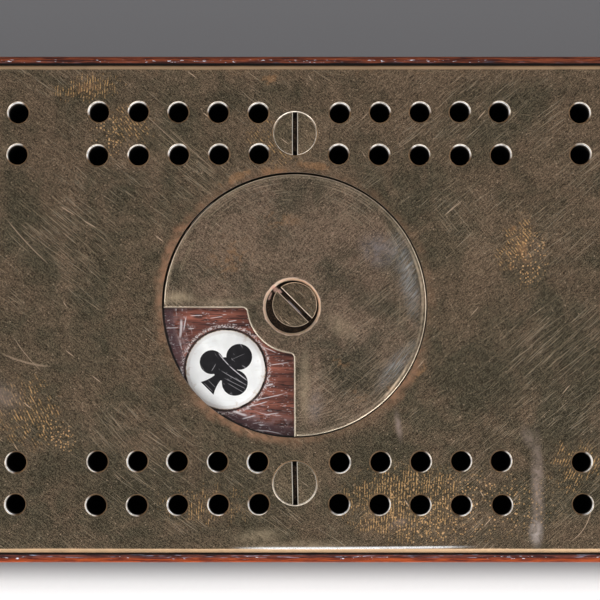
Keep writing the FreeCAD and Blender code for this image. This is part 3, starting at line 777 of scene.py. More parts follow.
# Stains, specks and scratches of the upper face: place, half sizes, direction, strength.
plate_brass = aged_brass(
    "plate_brass",
    blooms=[
        (0, 38, 70, 5.5, 0, 1.0),
        (2, 27, 42, 9, 0, 0.6),
        (-3, 26, 9, 8, 0, 0.8),
        (27, 8, 7, 15, 0, 0.8),
        (34.5, 11, 4, 7, 10, 1.0),
        (-25, 9, 5, 12, 0, 0.4),
        (-37, 4, 2.5, 13, 4, 0.7),
        (-42, -15, 8, 7, -35, 0.2),
        (2, -27, 6, 8, 0, 0.7),
        (17, -33, 14, 5, 0, 0.5),
        (44, 26, 6, 9, 0, 0.4),
    ],
    dulls=[
        (-26, -29, 26, 9, 0, 0.8),
        (29, -13, 12, 8, -20, 0.9),
        (13, -24, 8, 5, 0, 0.6),
        (-32, 10, 8, 9, 0, 0.6),
        (-44, 17, 5, 8, 0, 0.6),
        (44, -26, 8, 13, 0, 1.0),
        (42, -8, 12, 20, 0, 0.8),
        (37, -27, 7, 11, 0, 0.6),
        (15, -27, 11, 4, 0, 0.7),
    ],
    stains=[
        (
            COPPER,
            [
                (34.0, 13, 1.6, 1.6, -20, 0.7),
                (35.5, 9.0, 1.6, 3.4, 20, 0.55),
                (33.6, 6.2, 1.2, 1.0, 0, 0.8),
                (-3, 21.2, 5, 1.4, -6, 0.8),
                (2.6, 22.4, 4.2, 1.0, -8, 0.95),
                (-10.0, 20.6, 5, 1.1, 28, 0.8),
                (-4.6, 36.2, 2.0, 1.2, 8, 0.9),
                (-34.5, 34.6, 5.5, 1.8, 6, 0.35),
                (0, 37.3, 80, 1.5, 0, 0.12),
                (18.9, -10.4, 0.9, 2.8, -35, 0.6),
            ],
        ),
        (
            (0.33, 0.25, 0.21),
            [
                (15.6, -18.5, 0.8, 3.6, 8, 0.9),
                (15.6, -33.8, 2.4, 1.0, 20, 0.6),
                (-46.5, -14, 5, 3.4, -30, 0.55),
            ],
        ),
        ((0.35, 0.27, 0.225), [(37.4, -28, 1.5, 11.5, 1, 0.95), (36.2, -20.5, 1.6, 3.2, 30, 0.5)]),
        ((0.52, 0.44, 0.40), [(37.1, -35.2, 1.5, 3.2, 0, 0.95)]),
        # Painted sheens: gold light along the front edge and beside the pocket.
        (GOLD_SHEEN, [(0, -37.6, 14, 1.6, 0, 0.5), (-22, 2, 0.9, 4.5, 0, 0.25), (-6, -35.8, 6, 1.6, 4, 0.45)]),
    ],
    prints=[
        (87, [(-33.3, 34.8, 7.5, 2.9, 4, 1.0), (16.5, -30.5, 13, 8, 0, 1.0), (-14, -31, 12, 5, 0, 0.35)]),
        (
            -52,
            [
                (-26.5, 28.8, 5.0, 4.5, 0, 0.75),
                (34.0, 10.5, 3.2, 6.5, -25, 0.8),
                (-3.5, 26.5, 7, 6, 0, 0.45),
            ],
        ),
        (-62, [(-42.5, -16.5, 7.5, 8, 0, 0.6)]),
        (62, [(43, -25, 6, 6, 0, 0.6)]),
    ],
    dotted=[
        (24, -31, 25, 9, 0, 0.55),
        (20.5, -34.6, 9, 3.4, 0, 1.0),
        (-30.5, 27, 3.5, 6, 0, 0.8),
        (36, 8, 5, 7, 0, 0.7),
        (-38, -20, 5, 3.5, -35, 0.8),
    ],
    bundles=[
        (-40, [(-36, 12, 16, 10, -38, 0.9), (-17, 23, 12, 8, -42, 1.0)]),
        (-51, [(26, 14, 9, 8, -52, 0.6), (-30, -18, 14, 8, -50, 0.7)]),
        (43, [(40, -6, 15, 8, 41, 1.0), (42, -33, 7, 6, 48, 0.9)]),
    ],
    gouges=[
        (-43, 10.3, 11, -47, 0.3, 0.09, 0.8),
        (-36.5, 15.3, 3, -32, 0.0, 0.10, 1.0),
        (-33, 13.2, 2.4, -30, 0.0, 0.10, 1.0),
        (-42.8, -7.6, 7.5, -50, 0.3, 0.08, 0.7),
        (-21, 27.5, 12, -42, 0.2, 0.08, 0.7),
        (-17, 25, 11, -42, 0.0, 0.08, 0.6),
        (-43, -8.6, 9, -15, 0.5, 0.22, 0.45),
        (24.4, 15.8, 4, 40, 0.0, 0.09, 0.9),
        (45, -34, 8, 62, 1.2, 0.10, 0.8),
    ],
    glints=[((1.0, 1.0, 1.0), [(8.5, -37.66, 40, 0.3, 0.1, 0.24, 1.3)])],
    recess_shade=(42.75, 42.35),
    sunk=True,
    edge=(0.9985, 0.970, 0.85),
    worn=(0.60, 0.40, 0.235),
    drilled=True,
)


def ringed(material, low, high, tint, strength, towards):
    """Adds a tint to a finish, in a ring round the pivot that is strongest towards some spots: grime on the
    plate, and a painted highlight on the disc's edge.
    """
    sketch = Sketch(material.node_tree)
    shader = next(node for node in sketch.tree.nodes if node.type == "BSDF_PRINCIPLED")
    place = on_piece(sketch)
    width = high - low
    reach = from_pivot(place)
    ring = (reach + grain(place, 0.5, 4.0) * width * 1.2).rise(high + width * 0.6, low + width * 0.6)
    patchy = 0.35 + grain(place, 0.9, 3.0).rise(0.35, 0.65) * 0.65
    share = ring * reach.rise(low - 0.3, low) * patchy * strength
    share = share * (0.25 + laid(place, towards, spot) * 0.75)
    under = Shade(sketch, shader.inputs["Base Color"].links[0].from_socket)
    sketch.tree.links.new(blend(share, under, tint).socket, shader.inputs["Base Color"])


grime = [(-19, 6, 9, 18, 0, 1.2), (-10, -19, 15, 9, 0, 1.2), (18, -13, 8, 8, 0, 1.1)]
ringed(plate_brass, POCKET_RADIUS + 0.1, POCKET_RADIUS + 1.9, (0.42, 0.225, 0.135), 0.85, grime)


def turned_form(profile, steps=48):
    """A form turned about the Z axis, from (radius, height) pairs in millimetres."""
    form = bmesh.new()
    rings = []
    for radius, height in profile:
        if radius == 0:
            rings.append([form.verts.new((0, 0, height * MM))])
            continue
        ring = []
        for i in range(steps):
            angle = 2 * math.pi * i / steps
            x, y = radius * math.cos(angle) * MM, radius * math.sin(angle) * MM
            ring.append(form.verts.new((x, y, height * MM)))
        rings.append(ring)
    for lower, upper in zip(rings, rings[1:]):
        for i in range(steps):
            j = (i + 1) % steps
            a, b = lower[i % len(lower)], lower[j % len(lower)]
            c, d = upper[j % len(upper)], upper[i % len(upper)]
            corners = [v for k, v in enumerate((a, b, c, d)) if v not in (a, b, c, d)[:k]]
            form.faces.new(corners)
    bmesh.ops.recalc_face_normals(form, faces=form.faces)
    return form


def bench_object(name, mesh):
    """An object that is only worked with, and taken away once its shape is used."""
    made = bpy.data.objects.new(name, mesh)
    bpy.context.scene.collection.objects.link(made)
    return made


def bench_form(name, form):
    return bench_object(name, to_mesh(form, name))


def clear_bench(*objects):
    for one in objects:
        bpy.data.objects.remove(one, do_unlink=True)


def marks_mesh(name, places, turns=None):
    """Where a shape repeats: one loose vertex for each place, in millimetres, with its turn."""
    mesh = bpy.data.meshes.new(name)
    mesh.from_pydata([(x * MM, y * MM, z * MM) for x, y, z in places], [], [])
    turn = mesh.attributes.new("turn", "FLOAT", "POINT")
    turn.data.foreach_set("value", turns or [0.0] * len(places))
    return mesh


def strayed(x, y):
    """Where the hand drill went in, near its mark."""
    angle = 12.9898 * x + 78.233 * y
    size = STRAY * (0.35 + 0.65 * abs(math.sin(0.731 * angle)))
    return x + size * math.cos(angle), y + size * math.sin(angle), PLATE_Z


track_x = [PITCH * (6 * group + i) for group in range(3) for i in range(1, 6)]
row_y = (INNER_ROW, OUTER_ROW)
quarters = [(sx, sy) for sx in (-1, 1) for sy in (-1, 1)]
holes = [strayed(sx * x, sy * y) for x in track_x for y in row_y for sx, sy in quarters]
holes += [strayed(sx * GAME_HOLE_X, sy * GAME_HOLE_Y) for sx, sy in quarters]
screws = [(SIDE_SCREW_X, side * SIDE_SCREW_Y, PLATE_Z) for side in (1, -1)]
screws += [(side * END_SCREW_X, 0, PLATE_Z) for side in (1, -1)]

# Each bit: where it goes in, its steps round, and its wall as (radius, height above the plate).
hole = PEG_HOLE / 2
TIP, TOP = -3.4, 0.5
bits = {
    "peg": (holes, 40, [(hole, TIP), (hole, -0.30), (hole + 0.20, 0.01), (hole + 0.4, TOP)]),
    "screw": (screws, 64, [(1.85, TIP), (1.85, -1.75), (3.58, -0.02), (3.70, TOP)]),
    "disc": (
        [(*PIVOT, PLATE_Z)],
        160,
        [(POCKET_RADIUS, TIP), (POCKET_RADIUS, -0.06), (POCKET_RADIUS + 0.1, TOP)],
    ),
}
cutters = {}
for title, (places, steps, wall) in bits.items():
    whole = turned_form([(0, TIP), *wall, (0, TOP)], steps)
    cutters[f"{title} marks"] = bench_object(f"{title}_marks", marks_mesh(f"{title}_marks", places))
    cutters[f"{title} bit"] = bench_form(f"{title}_bit", whole)


def new_jig(name, inputs):
    """A Geometry Nodes tree with its named inputs."""
    tree = bpy.data.node_groups.new(name, "GeometryNodeTree")
    tree.interface.new_socket(name="Geometry", in_out="INPUT", socket_type="NodeSocketGeometry")
    for title, kind in inputs:
        tree.interface.new_socket(name=title, in_out="INPUT", socket_type=kind)
    tree.interface.new_socket(name="Geometry", in_out="OUTPUT", socket_type="NodeSocketGeometry")
    sketch = Sketch(tree)
    entry = sketch.node("NodeGroupInput")
    given = {socket.name: Shade(sketch, socket) for socket in entry.socket.node.outputs if socket.name}
    return tree, sketch, given


def close_jig(sketch, shape, finish):
    whole = sketch.node("GeometryNodeRealizeInstances", {}, {0: shape})
    values = {"Geometry": whole, "Material": finish}
    sketch.node("NodeGroupOutput", {}, {0: sketch.node("GeometryNodeSetMaterial", {}, values)})


def work(piece, tree, values):
    """The mesh that a jig makes from the piece, which keeps no modifier."""
    modifier = piece.modifiers.new("jig", "NODES")
    modifier.node_group = tree
    for socket in tree.interface.items_tree:
        if socket.in_out == "INPUT" and socket.name in values:
            modifier[socket.identifier] = values[socket.name]
    seen = piece.evaluated_get(bpy.context.evaluated_depsgraph_get())
    mesh = bpy.data.meshes.new_from_object(seen)
    piece.modifiers.clear()
    return mesh


def object_shape(sketch, tool):
    return sketch.node("GeometryNodeObjectInfo", {}, {0: tool}, out="Geometry")


def any_between(sketch, low, high, seed):
    """A random vector for each place, each part of it between those of low and high."""
    low, high = (sketch.node("ShaderNodeCombineXYZ", {}, dict(enumerate(end))) for end in (low, high))
    values = {0: low, 1: high, "Seed": seed}
    return sketch.node("FunctionNodeRandomValue", {"data_type": "FLOAT_VECTOR"}, values)


inputs = [(title, "NodeSocketObject") for title in cutters]
inputs += [("Lean", "NodeSocketFloat"), ("Lip change", "NodeSocketFloat"), ("Finish", "NodeSocketMaterial")]
drilling, sketch, given = new_jig("drilled_plate", inputs)
cuts = []
for title in bits:
    tool = object_shape(sketch, given[f"{title} bit"])
    values = {"Points": object_shape(sketch, given[f"{title} marks"]), "Instance": tool}
    if title == "peg":
        lean, swell = given["Lean"], given["Lip change"]
        values["Rotation"] = any_between(sketch, (0 - lean, 0 - lean, -3.0), (lean, lean, 3.0), 4)
        values["Scale"] = any_between(sketch, (1 - swell, 1 - swell, 1.0), (1 + swell, 1 + swell, 1.0), 9)
    cut = sketch.node("GeometryNodeInstanceOnPoints", {}, values)
    cuts.append(sketch.node("GeometryNodeRealizeInstances", {}, {0: cut}))
settings = {"operation": "DIFFERENCE", "solver": "EXACT"}
drilled = sketch.node("GeometryNodeMeshBoolean", settings, {0: given["Geometry"], 1: cuts})
close_jig(sketch, drilled, given["Finish"])

filed = {"rounding": 0.8, "corner": 0.9, "steps": 7, "wobble": 0.10, "span": 1.6}
slab = rounded_slab("plate_blank", PLATE_X, PLATE_Y, SEAT_Z, PLATE_Z, **filed)
blank = bench_object("plate_blank", slab)
plate_mesh = work(blank, drilling, {**cutters, "Lean": 0.03, "Lip change": 0.02, "Finish": plate_brass})
plate_mesh.name = "scoring_plate"
clear_bench(blank, *cutters.values())
add_piece("scoring_plate", smoothed(plate_mesh, 30, crisp_top=True), "case", "top_plate")

# ---------------------------------------------------------------------------------------------
# Plate screws
# Four countersunk brass wood screws, filed flush with the plate after they were driven, so that
# their slots are shallow. Their rims are a thin bright line, worn and painted as highlight, and their slots
# are painted dark as shade.

screw_brass = aged_brass(
    "screw_brass",
    recess_shade=(44.60, 44.30),
    edge=(0.97, 0.70, 0.7),
    gloss=0.38,
    cool=(0.125, 0.100, 0.066),
    ruddy=(0.190, 0.135, 0.088),
)


def joined(name, first, others, operation):
    """One closed mesh from a bench object and others added to it or taken from it."""
    for other in others:
        change = first.modifiers.new(other.name, "BOOLEAN")
        change.operation = operation
        change.solver = "EXACT"
        change.object = other
    whole = first.evaluated_get(bpy.context.evaluated_depsgraph_get())
    mesh = bpy.data.meshes.new_from_object(whole)
    mesh.name = name
    clear_bench(first, *others)
    return mesh


def slotted_head(name, profile, slot_width, slot_depth, top):
    """A turned screw with a straight slot across its head, the slot's upper edges broken."""
    screw = bench_form(name, turned_form(profile, 64))
    form = bmesh.new()
    reach = 6.0
    half, lip, splay = slot_width / 2, 0.11, 0.6
    section = [(half, -slot_depth), (half, -lip), (half + lip + splay, splay)]
    section = [(-half, -slot_depth), *section, (-half - lip - splay, splay), (-half, -lip)]
    ends = []
    for y in (-reach, reach):
        ends.append([form.verts.new((x * MM, y * MM, (top + z) * MM)) for x, z in section])
    loft(form, ends)
    bmesh.ops.recalc_face_normals(form, faces=form.faces)
    return smoothed(joined(name, screw, [bench_form("saw", form)], "DIFFERENCE"), 35)


screw_profile = [(0, -9.0), (1.8, -6.5), (1.8, -1.7), (3.42, -0.08), (3.36, -0.02), (3.25, 0.0), (0, 0.0)]
screw_mesh = slotted_head("plate_screw", screw_profile, slot_width=0.72, slot_depth=0.8, top=0.0)
inputs = [("Copied", "NodeSocketObject"), ("Finish", "NodeSocketMaterial")]
repeat, sketch, given = new_jig("turned_copies", inputs)
turn = sketch.node("GeometryNodeInputNamedAttribute", {"data_type": "FLOAT"}, {"Name": "turn"})
values = {"Points": given["Geometry"], "Instance": object_shape(sketch, given["Copied"])}
values["Rotation"] = sketch.node("ShaderNodeCombineXYZ", {}, {2: turn})
copies = sketch.node("GeometryNodeInstanceOnPoints", {}, values)
close_jig(sketch, copies, given["Finish"])
one_screw = bench_object("one_screw", screw_mesh)
slot_turns = [0.0, 0.02, 0.6, -0.9]
screw_marks = bench_object("screw_marks", marks_mesh("screw_marks", screws, slot_turns))
all_screws = work(screw_marks, repeat, {"Copied": one_screw, "Finish": screw_brass})
clear_bench(one_screw, screw_marks)
add_piece("flush_screws", all_screws, "case", "plate_screws")

# ---------------------------------------------------------------------------------------------
# Suit indicator
# A brass disc that turns in the plate's bored pocket. A quarter is cut away to show one suit, and
# its edges are worn bright, with painted highlights and sheens. Its screw sits in a counterbore that was cut
# a little off centre, and the counterbore is painted dark as shade.

DISC_RADIUS = 20.7
BORE_X, BORE_Y = PIVOT[0] - 0.42, PIVOT[1] - 0.34
disc_brass = aged_brass(
    "disc_brass",
    blooms=[
        (-11, 10, 11, 9, 30, 1.0),
        (8, -2, 6, 4, -10, 1.0),
        (2, 12, 14, 6, 0, 0.6),
        (-14, 3, 7, 4, 0, 1.0),
        (2.5, -15, 3, 6, 0, 1.0),
        (0, 0, 8, 8, 0, 0.6),
    ],
    dulls=[(8, -10, 7, 6, -40, 1.0), (14, -1, 5, 7, 0, 0.4), (-2, 17, 5, 3, 0, 0.4)],
    stains=[
        (
            COPPER,
            [
                (-11, 8, 6, 5, 20, 0.45),
                (-3, 14, 6, 3, 0, 0.30),
                (6.5, -8.5, 2.5, 2, 0, 0.35),
                (14.5, -12.5, 1.3, 1.0, 0, 0.45),
                (9.5, -14, 2.2, 3, 20, 0.25),
            ],
        ),
        # Painted sheens: gold light along the window's edges and by the hub.
        (
            GOLD_SHEEN,
            [
                (0.9, -12.5, 1.3, 8, 0, 0.55),
                (-19.0, 1.6, 3.6, 1.5, 0, 0.75),
                (-12, 0.9, 8, 0.9, 0, 0.35),
                (6.5, -3, 4, 2.2, -35, 0.35),
            ],
        ),
        # Painted sheens: bluish-grey light, mostly on the disc's right.
        ((0.40, 0.37, 0.40), [(12.5, 9, 4.5, 3.5, -40, 0.35), (2.5, -15.5, 2, 4, 0, 0.2)]),
        ((0.30, 0.31, 0.31), [(16.6, 5.5, 2.4, 8.5, 12, 0.25), (14.8, -9.5, 2.2, 6, -38, 0.22)]),
    ],
    # Painted sheen: bluish combing near the disc's right edge.
    combed_sheen=[
        (
            FROST_SHEEN,
            50,
            [(17.4, 4.5, 1.9, 9, 8, 0.60), (15.4, -9.0, 1.7, 6, -38, 0.55), (15.5, 10, 3, 3, 0, 0.30)],
        )
    ],
    bundles=[
        (43, [(14, -2, 8, 8, 43, 0.9)]),
        (-36, [(10, -12, 7, 6, -32, 0.7), (-8, 10, 9, 6, -41, 0.5), (4, -13, 6, 6, -40, 0.6)]),
    ],
    gouges=[(14, -13.5, 2.6, 52, 0.0, 0.16, 1.0), (11.5, -16.5, 2.2, 40, 0.0, 0.14, 1.0)],
    glints=[
        ((0.80, 0.52, 0.42), [(-3.75, 2.95, 1.8, -46, 0.0, 0.55, 1.0), (-4.6, 1.9, 1.6, 70, 0.0, 0.25, 0.8)])
    ],
    turned=0.9,
    recess_shade=(44.15, 43.75),
    edge=(0.985, 0.72, 0.85),
    worn=(1.0, 0.88, 0.70),
    swept=(-14.0, 12.0),
    gloss=0.33,
    cool=(0.118, 0.097, 0.067),
    ruddy=(0.200, 0.140, 0.098),
    bored=(BORE_X, BORE_Y, 4.56),
)
# Painted highlight: a bright ring on the disc's lower right edge.
edge_highlight_spots = [(15.5, -11.5, 6, 7, 0, 1.3), (19, 4, 3, 9, 0, 0.8)]
ringed(disc_brass, DISC_RADIUS - 0.55, DISC_RADIUS - 0.20, (1.0, 0.78, 0.55), 0.7, edge_highlight_spots)


def disc_outline():
    """Round the disc anticlockwise from the window's lower side, in millimetres from the pivot."""
    hub, corner = 7.7, 0.7
    side, end = 0.45, 0.2
    points = []
    first = -90 - math.degrees(math.asin(end / DISC_RADIUS))
    last = 180 + math.degrees(math.asin(side / DISC_RADIUS))
    steps = 200
    for i in range(steps + 1):
        angle = math.radians(first + (last - first) * i / steps)
        points.append((DISC_RADIUS * math.cos(angle), DISC_RADIUS * math.sin(angle)))

    def fillet(flat):
        """The rounded corner where a side meets the hub, as if the side ran along -X at -flat."""
        centre_y = -flat - corner
        centre_x = -math.sqrt((hub + corner) ** 2 - centre_y**2)
        towards = math.atan2(-centre_y, -centre_x)
        arc = []
        for i in range(9):
            angle = math.pi / 2 + (towards - math.pi / 2) * i / 8
            arc.append((centre_x + corner * math.cos(angle), centre_y + corner * math.sin(angle)))
        return arc

    upper = fillet(side)
    lower = [(y, x) for x, y in reversed(fillet(end))]
    start = math.atan2(upper[-1][1], upper[-1][0])
    finish = math.atan2(lower[0][1], lower[0][0])
    hub_arc = []
    for i in range(1, 24):
        angle = start + (finish - start) * i / 24
        hub_arc.append((hub * math.cos(angle), hub * math.sin(angle)))
    return points + upper + hub_arc + lower


def moved(x, y, z=0.0, turn=0.0, axis="Z"):
    """The move to a point in millimetres, after a turn about an axis."""
    return Matrix.Translation((x * MM, y * MM, z * MM)) @ Matrix.Rotation(turn, 4, axis)


OFF_CENTRE = (0.09, -0.06)
EDGE_DROP, EDGE_WORN = 0.30, 0.34
outline = disc_outline()
form = bmesh.new()
wear = [(SEAT_Z, 0.0), (PLATE_Z - EDGE_DROP, 0.0)]
for k in range(1, 6):
    angle = math.pi / 2 * k / 5
    wear.append((PLATE_Z - EDGE_DROP + EDGE_DROP * math.sin(angle), EDGE_WORN * (1 - math.cos(angle))))
normals = []
for i in range(len(outline)):
    before, after = outline[i - 1], outline[(i + 1) % len(outline)]
    run = Vector((after[0] - before[0], after[1] - before[1]))
    normals.append(Vector((run.y, -run.x)).normalized())
rings = []
for level, inset in wear:
    ring = []
    for (x, y), out in zip(outline, normals):
        at = Vector((x, y, 0))
        uneven = inset * (1 + 0.5 * noise.noise(at * 0.22)) if inset else 0.0
        spot_x = PIVOT[0] + x - out.x * uneven
        spot_y = PIVOT[1] + y - out.y * uneven
        ring.append(form.verts.new((spot_x * MM, spot_y * MM, level * MM)))
    rings.append(ring)
loft(form, rings)
bmesh.ops.recalc_face_normals(form, faces=form.faces)
form.transform(moved(*OFF_CENTRE))
disc = bench_form("suit_disc", form)

shank = turned_form([(0, 40.0), (2.05, 40.0), (2.05, 46.0), (0, 46.0)], 48)
shank.transform(moved(*PIVOT))
recess_profile = [(0, 43.5), (4.12, 43.5), (4.14, 44.28), (4.52, 44.71), (4.7, 46.0), (0, 46.0)]
recess = turned_form(recess_profile, 96)
recess.transform(moved(BORE_X, BORE_Y))
bored_through = [bench_form("shank_bit", shank), bench_form("recess_bit", recess)]
disc_mesh = joined("suit_disc", disc, bored_through, "DIFFERENCE")
disc_mesh = smoothed(disc_mesh, 35, disc_brass, crisp_top=True)
add_piece("suit_disc", disc_mesh, "indicator", "indicator_disc")

HEAD_Z, PIVOT_TOP = 43.52, 44.69
head = [(3.5, HEAD_Z), (3.5, 44.58), (3.44, 44.66), (3.32, PIVOT_TOP), (0, PIVOT_TOP)]
pivot_profile = [(0, 34.8), (2.0, 37.3), (2.0, HEAD_Z), *head]
pivot_mesh = slotted_head("pivot_form", pivot_profile, slot_width=0.75, slot_depth=0.7, top=PIVOT_TOP)
pivot_mesh.transform(moved(*PIVOT, turn=math.radians(45)))
pivot_brass = aged_brass(
    "pivot_brass",
    recess_shade=(44.58, 44.25),
    edge=(0.985, 0.75, 0.9),
    worn=(1.0, 0.86, 0.70),
    gloss=0.34,
    glints=[
        ((0.42, 0.37, 0.42), [(PIVOT[0] - 0.05, PIVOT[1] - 0.33, 3.6, -45, 0.0, 0.15, 1.0)]),
        ((0.80, 0.52, 0.42), [(-3.25, 2.75, 1.4, -46, 0.0, 0.42, 1.0)]),
    ],
)
add_piece("slotted_pivot", smoothed(pivot_mesh, 35, pivot_brass), "case", "pivot_screw")

# ---------------------------------------------------------------------------------------------
# Suit roundels
# Bone discs let flush into the deck, each with its suit inlaid in black or red. The edges have
# chipped and gathered dirt, and the turning disc has scored the suits.

ROUNDEL_RADIUS, ROUNDEL_THICKNESS = 6.45, 1.6
INLAY_DEPTH = 0.8


def bone(name, centre=None):
    """Old bone: warm white, faintly clouded, with brown grime round a roundel's rim. A roundel is painted
    paler towards the pocket's wall, and a faint band of painted shade runs inside its rim.
    """
    material, sketch, place = new_finish(name)
    cloud = grain(place, 0.25, 4.0)
    tone = blend(cloud.rise(0.35, 0.65), (0.70, 0.685, 0.67), (0.86, 0.85, 0.83))
    canals = grain(stretch(place, 0.4, 3.0, 3.0), 1.0, 2.0).rise(0.64, 0.72)
    tone = blend(canals * 0.18, tone, (0.45, 0.38, 0.30))
    if centre:
        # Painted light: paler towards the pocket's wall, to lift the wall's shade.
        tone = blend(from_pivot(place).rise(16.5, 20.5) * 0.85, tone, (0.99, 0.985, 0.97))
        tatter = grain(place, 2.2, 4.0, 0.0, 0.7)
        reach = from_pivot(place, *centre) + tatter * 0.30
        # Painted shade: a faint darker band inside the rim, as under a worn bevel.
        tone = blend(reach.rise(5.75, 6.0) * (0.15 + cloud * 0.35), tone, (0.50, 0.42, 0.38))
        tone = blend(reach.rise(6.28, 6.42) * 0.6, tone, (0.40, 0.26, 0.15))
        tone = blend((reach + tatter * 0.15).rise(6.46, 6.54) * 0.95, tone, (0.10, 0.06, 0.04))
        stray = grain(place, 1.1, 3.0).rise(0.62, 0.70) * reach.rise(4.6, 6.2)
        tone = blend(stray * 0.35, tone, (0.42, 0.27, 0.17))
    values = {"Base Color": tone, "Roughness": 0.38 + cloud * 0.1, "Subsurface Weight": 0.05}
    values["Normal"] = raised(cloud - canals * 0.5, 0.3, 0.00005)
    close_finish(sketch, values)
    return material


def stained(name, dark, light, score, cuts=()):
    """Stained inlay, rubbed and scored in arcs round the pivot."""
    material, sketch, place = new_finish(name)
    cloud = grain(place, 1.2, 4.0)
    tone = blend(cloud, dark, light)
    lines = grain(arced(place, 2.4, 0.10, 8), 1.0, 2.0).rise(0.64, 0.72) * score
    lines = lines | (specks(place, 0.13, 0.2, 1.4) * score)
    if cuts:
        deep = laid(place, cuts, gouge)
        lines = lines | (deep * (0.55 + grain(place, 3.0, 1.0) * 0.7))
    tone = blend(lines, tone, (0.60, 0.57, 0.60))
    close_finish(sketch, {"Base Color": tone, "Roughness": 0.32 + cloud * 0.2, "Specular IOR Level": 0.2})
    return material


club_cuts = [
    (-11.95, -8.1, 2.9, -49, 0.06, 0.10, 0.8),
    (-9.64, -10.3, 4.3, -39, 0.05, 0.10, 0.9),
    (-10.4, -11.0, 4.9, -29.5, 0.05, 0.055, 0.6),
    (-10.1, -11.9, 4.3, -26.5, 0.0, 0.05, 0.5),
    (-10.0, -12.6, 3.5, -30, 0.0, 0.05, 0.45),
    (-9.2, -11.6, 2.6, -35, 0.0, 0.04, 0.4),
    (-13.5, -9.35, 1.5, 60, 0.05, 0.055, 0.5),
    (-14.35, -12.5, 2.2, -45, 0.0, 0.05, 0.45),
    (-13.8, -11.95, 2.0, -45, 0.0, 0.05, 0.4),
    (-9.6, -7.6, 2.4, 24, 0.0, 0.04, 0.3),
]
black_inlay = stained("black_inlay", (0.003, 0.003, 0.004), (0.012, 0.011, 0.013), 0.22, club_cuts)
red_inlay = stained("red_inlay", (0.22, 0.012, 0.010), (0.38, 0.030, 0.020), 0.20)


def prism(name, points, low, high):
    """An upright slab from its outline, in millimetres."""
    form = bmesh.new()
    loft(form, [[form.verts.new((x * MM, y * MM, z * MM)) for x, y in points] for z in (low, high)])
    bmesh.ops.recalc_face_normals(form, faces=form.faces)
    return bench_form(name, form)


def circle(x, y, radius, steps=64):
    turns = [2 * math.pi * i / steps for i in range(steps)]
    return [(x + radius * math.cos(t), y + radius * math.sin(t)) for t in turns]


def stem():
    right = [(0.58 + 0.85 * (i / 12) ** 2.2, -1.0 - 3.15 * i / 12) for i in range(13)]
    return right + [(-x, y) for x, y in reversed(right)]


def leaf(lobe, lobe_x, lobe_y, point_y):
    """Two round lobes drawn out to a point: a heart, or a spade's blade where the point is above."""
    up = lobe_y - point_y
    swing = math.atan2(abs(up), lobe_x) - math.acos(lobe / math.hypot(lobe_x, up))
    touch = (lobe_x + lobe * math.cos(swing), lobe_y - math.copysign(lobe * math.sin(swing), up))
    blade = [(lobe_x, lobe_y), (-lobe_x, lobe_y), (-touch[0], touch[1]), (0, point_y), touch]
    return [blade, circle(lobe_x, lobe_y, lobe), circle(-lobe_x, lobe_y, lobe)]


def diamond():
    tips = [(3.2, 0), (0, 4.3), (-3.2, 0), (0, -4.3)]
    points = []
    for i, (ax, ay) in enumerate(tips):
        bx, by = tips[(i + 1) % 4]
        inwards = 1 - 2 * 0.45 / math.hypot((ax + bx) / 2, (ay + by) / 2)
        cx, cy = (ax + bx) / 2 * inwards, (ay + by) / 2 * inwards
        for k in range(10):
            t = k / 10
            a, b, c = (1 - t) ** 2, t * t, 2 * t * (1 - t)
            points.append((a * ax + c * cx + b * bx, a * ay + c * cy + b * by))
    return points


leaves = [circle(0.1, 2.95, 2.05), circle(-2.4, -0.7, 1.90), circle(2.5, -0.45, 2.05)]
suits = {
    "club": ([*leaves, circle(-0.1, 0.0, 1.9), stem()], black_inlay, "black_inlay"),
    "heart": (leaf(2.15, 1.95, 1.35, -4.3), red_inlay, "red_stain"),
    "spade": ([*leaf(1.95, 1.9, -1.15, 4.4), stem()], black_inlay, "black_inlay"),
    "diamond": ([diamond()], red_inlay, "red_stain"),
}
rim = [(0.03, -ROUNDEL_THICKNESS), (0.03, -0.20), (0.07, -0.06), (0.18, 0.0)]
roundel_profile = [(0, -ROUNDEL_THICKNESS), *((ROUNDEL_RADIUS - inset, z) for inset, z in rim), (0, 0.0)]
roundel_profile = [(radius, SEAT_Z + z) for radius, z in roundel_profile]
for number, (suit, (bearing, lean)) in enumerate(SUIT_BEARINGS.items()):
    outlines, stain, slot = suits[suit]
    slabs = [prism("slab", points, SEAT_Z - INLAY_DEPTH, SEAT_Z) for points in outlines]
    suit_mesh = joined(f"suit_{suit}", slabs[0], slabs[1:], "UNION")
    form = bmesh.new()
    form.from_mesh(suit_mesh)
    for vert in form.verts:
        if vert.co.z > (SEAT_Z - INLAY_DEPTH / 2) * MM:
            vert.co.z = (SEAT_Z + INLAY_DEPTH / 2) * MM
    bed = bench_form("bed", form)

    blank = turned_form(roundel_profile, 168)
    for vert in blank.verts:
        reach = vert.co.xy.length / MM
        if reach > 5:
            way = vert.co.xy.normalized()
            knocks = noise.noise(Vector((way.x * 2.6, way.y * 2.6, number * 3.1)))
            broken = max(0.0, knocks - 0.10) * 0.42
            broken += abs(noise.noise(Vector((way.x * 11, way.y * 11, number * 5.7)))) * 0.09
            vert.co.xy = way * (reach - broken) * MM
    name = f"bone_roundel_{suit}"
    roundel_mesh = joined(name, bench_form("blank", blank), [bed], "DIFFERENCE")

    centre = seat_of(bearing)
    settle = moved(*centre, turn=math.radians(bearing + lean + 90))
    roundel_mesh.transform(settle)
    suit_mesh.transform(settle)
    bone_finish = bone(f"bone_{suit}", centre)
    add_piece(name, smoothed(roundel_mesh, 35, bone_finish), "case", f"roundel_{suit}")
    add_piece(f"suit_{suit}", smoothed(suit_mesh, 35, stain), "case", f"inlay_{suit}")

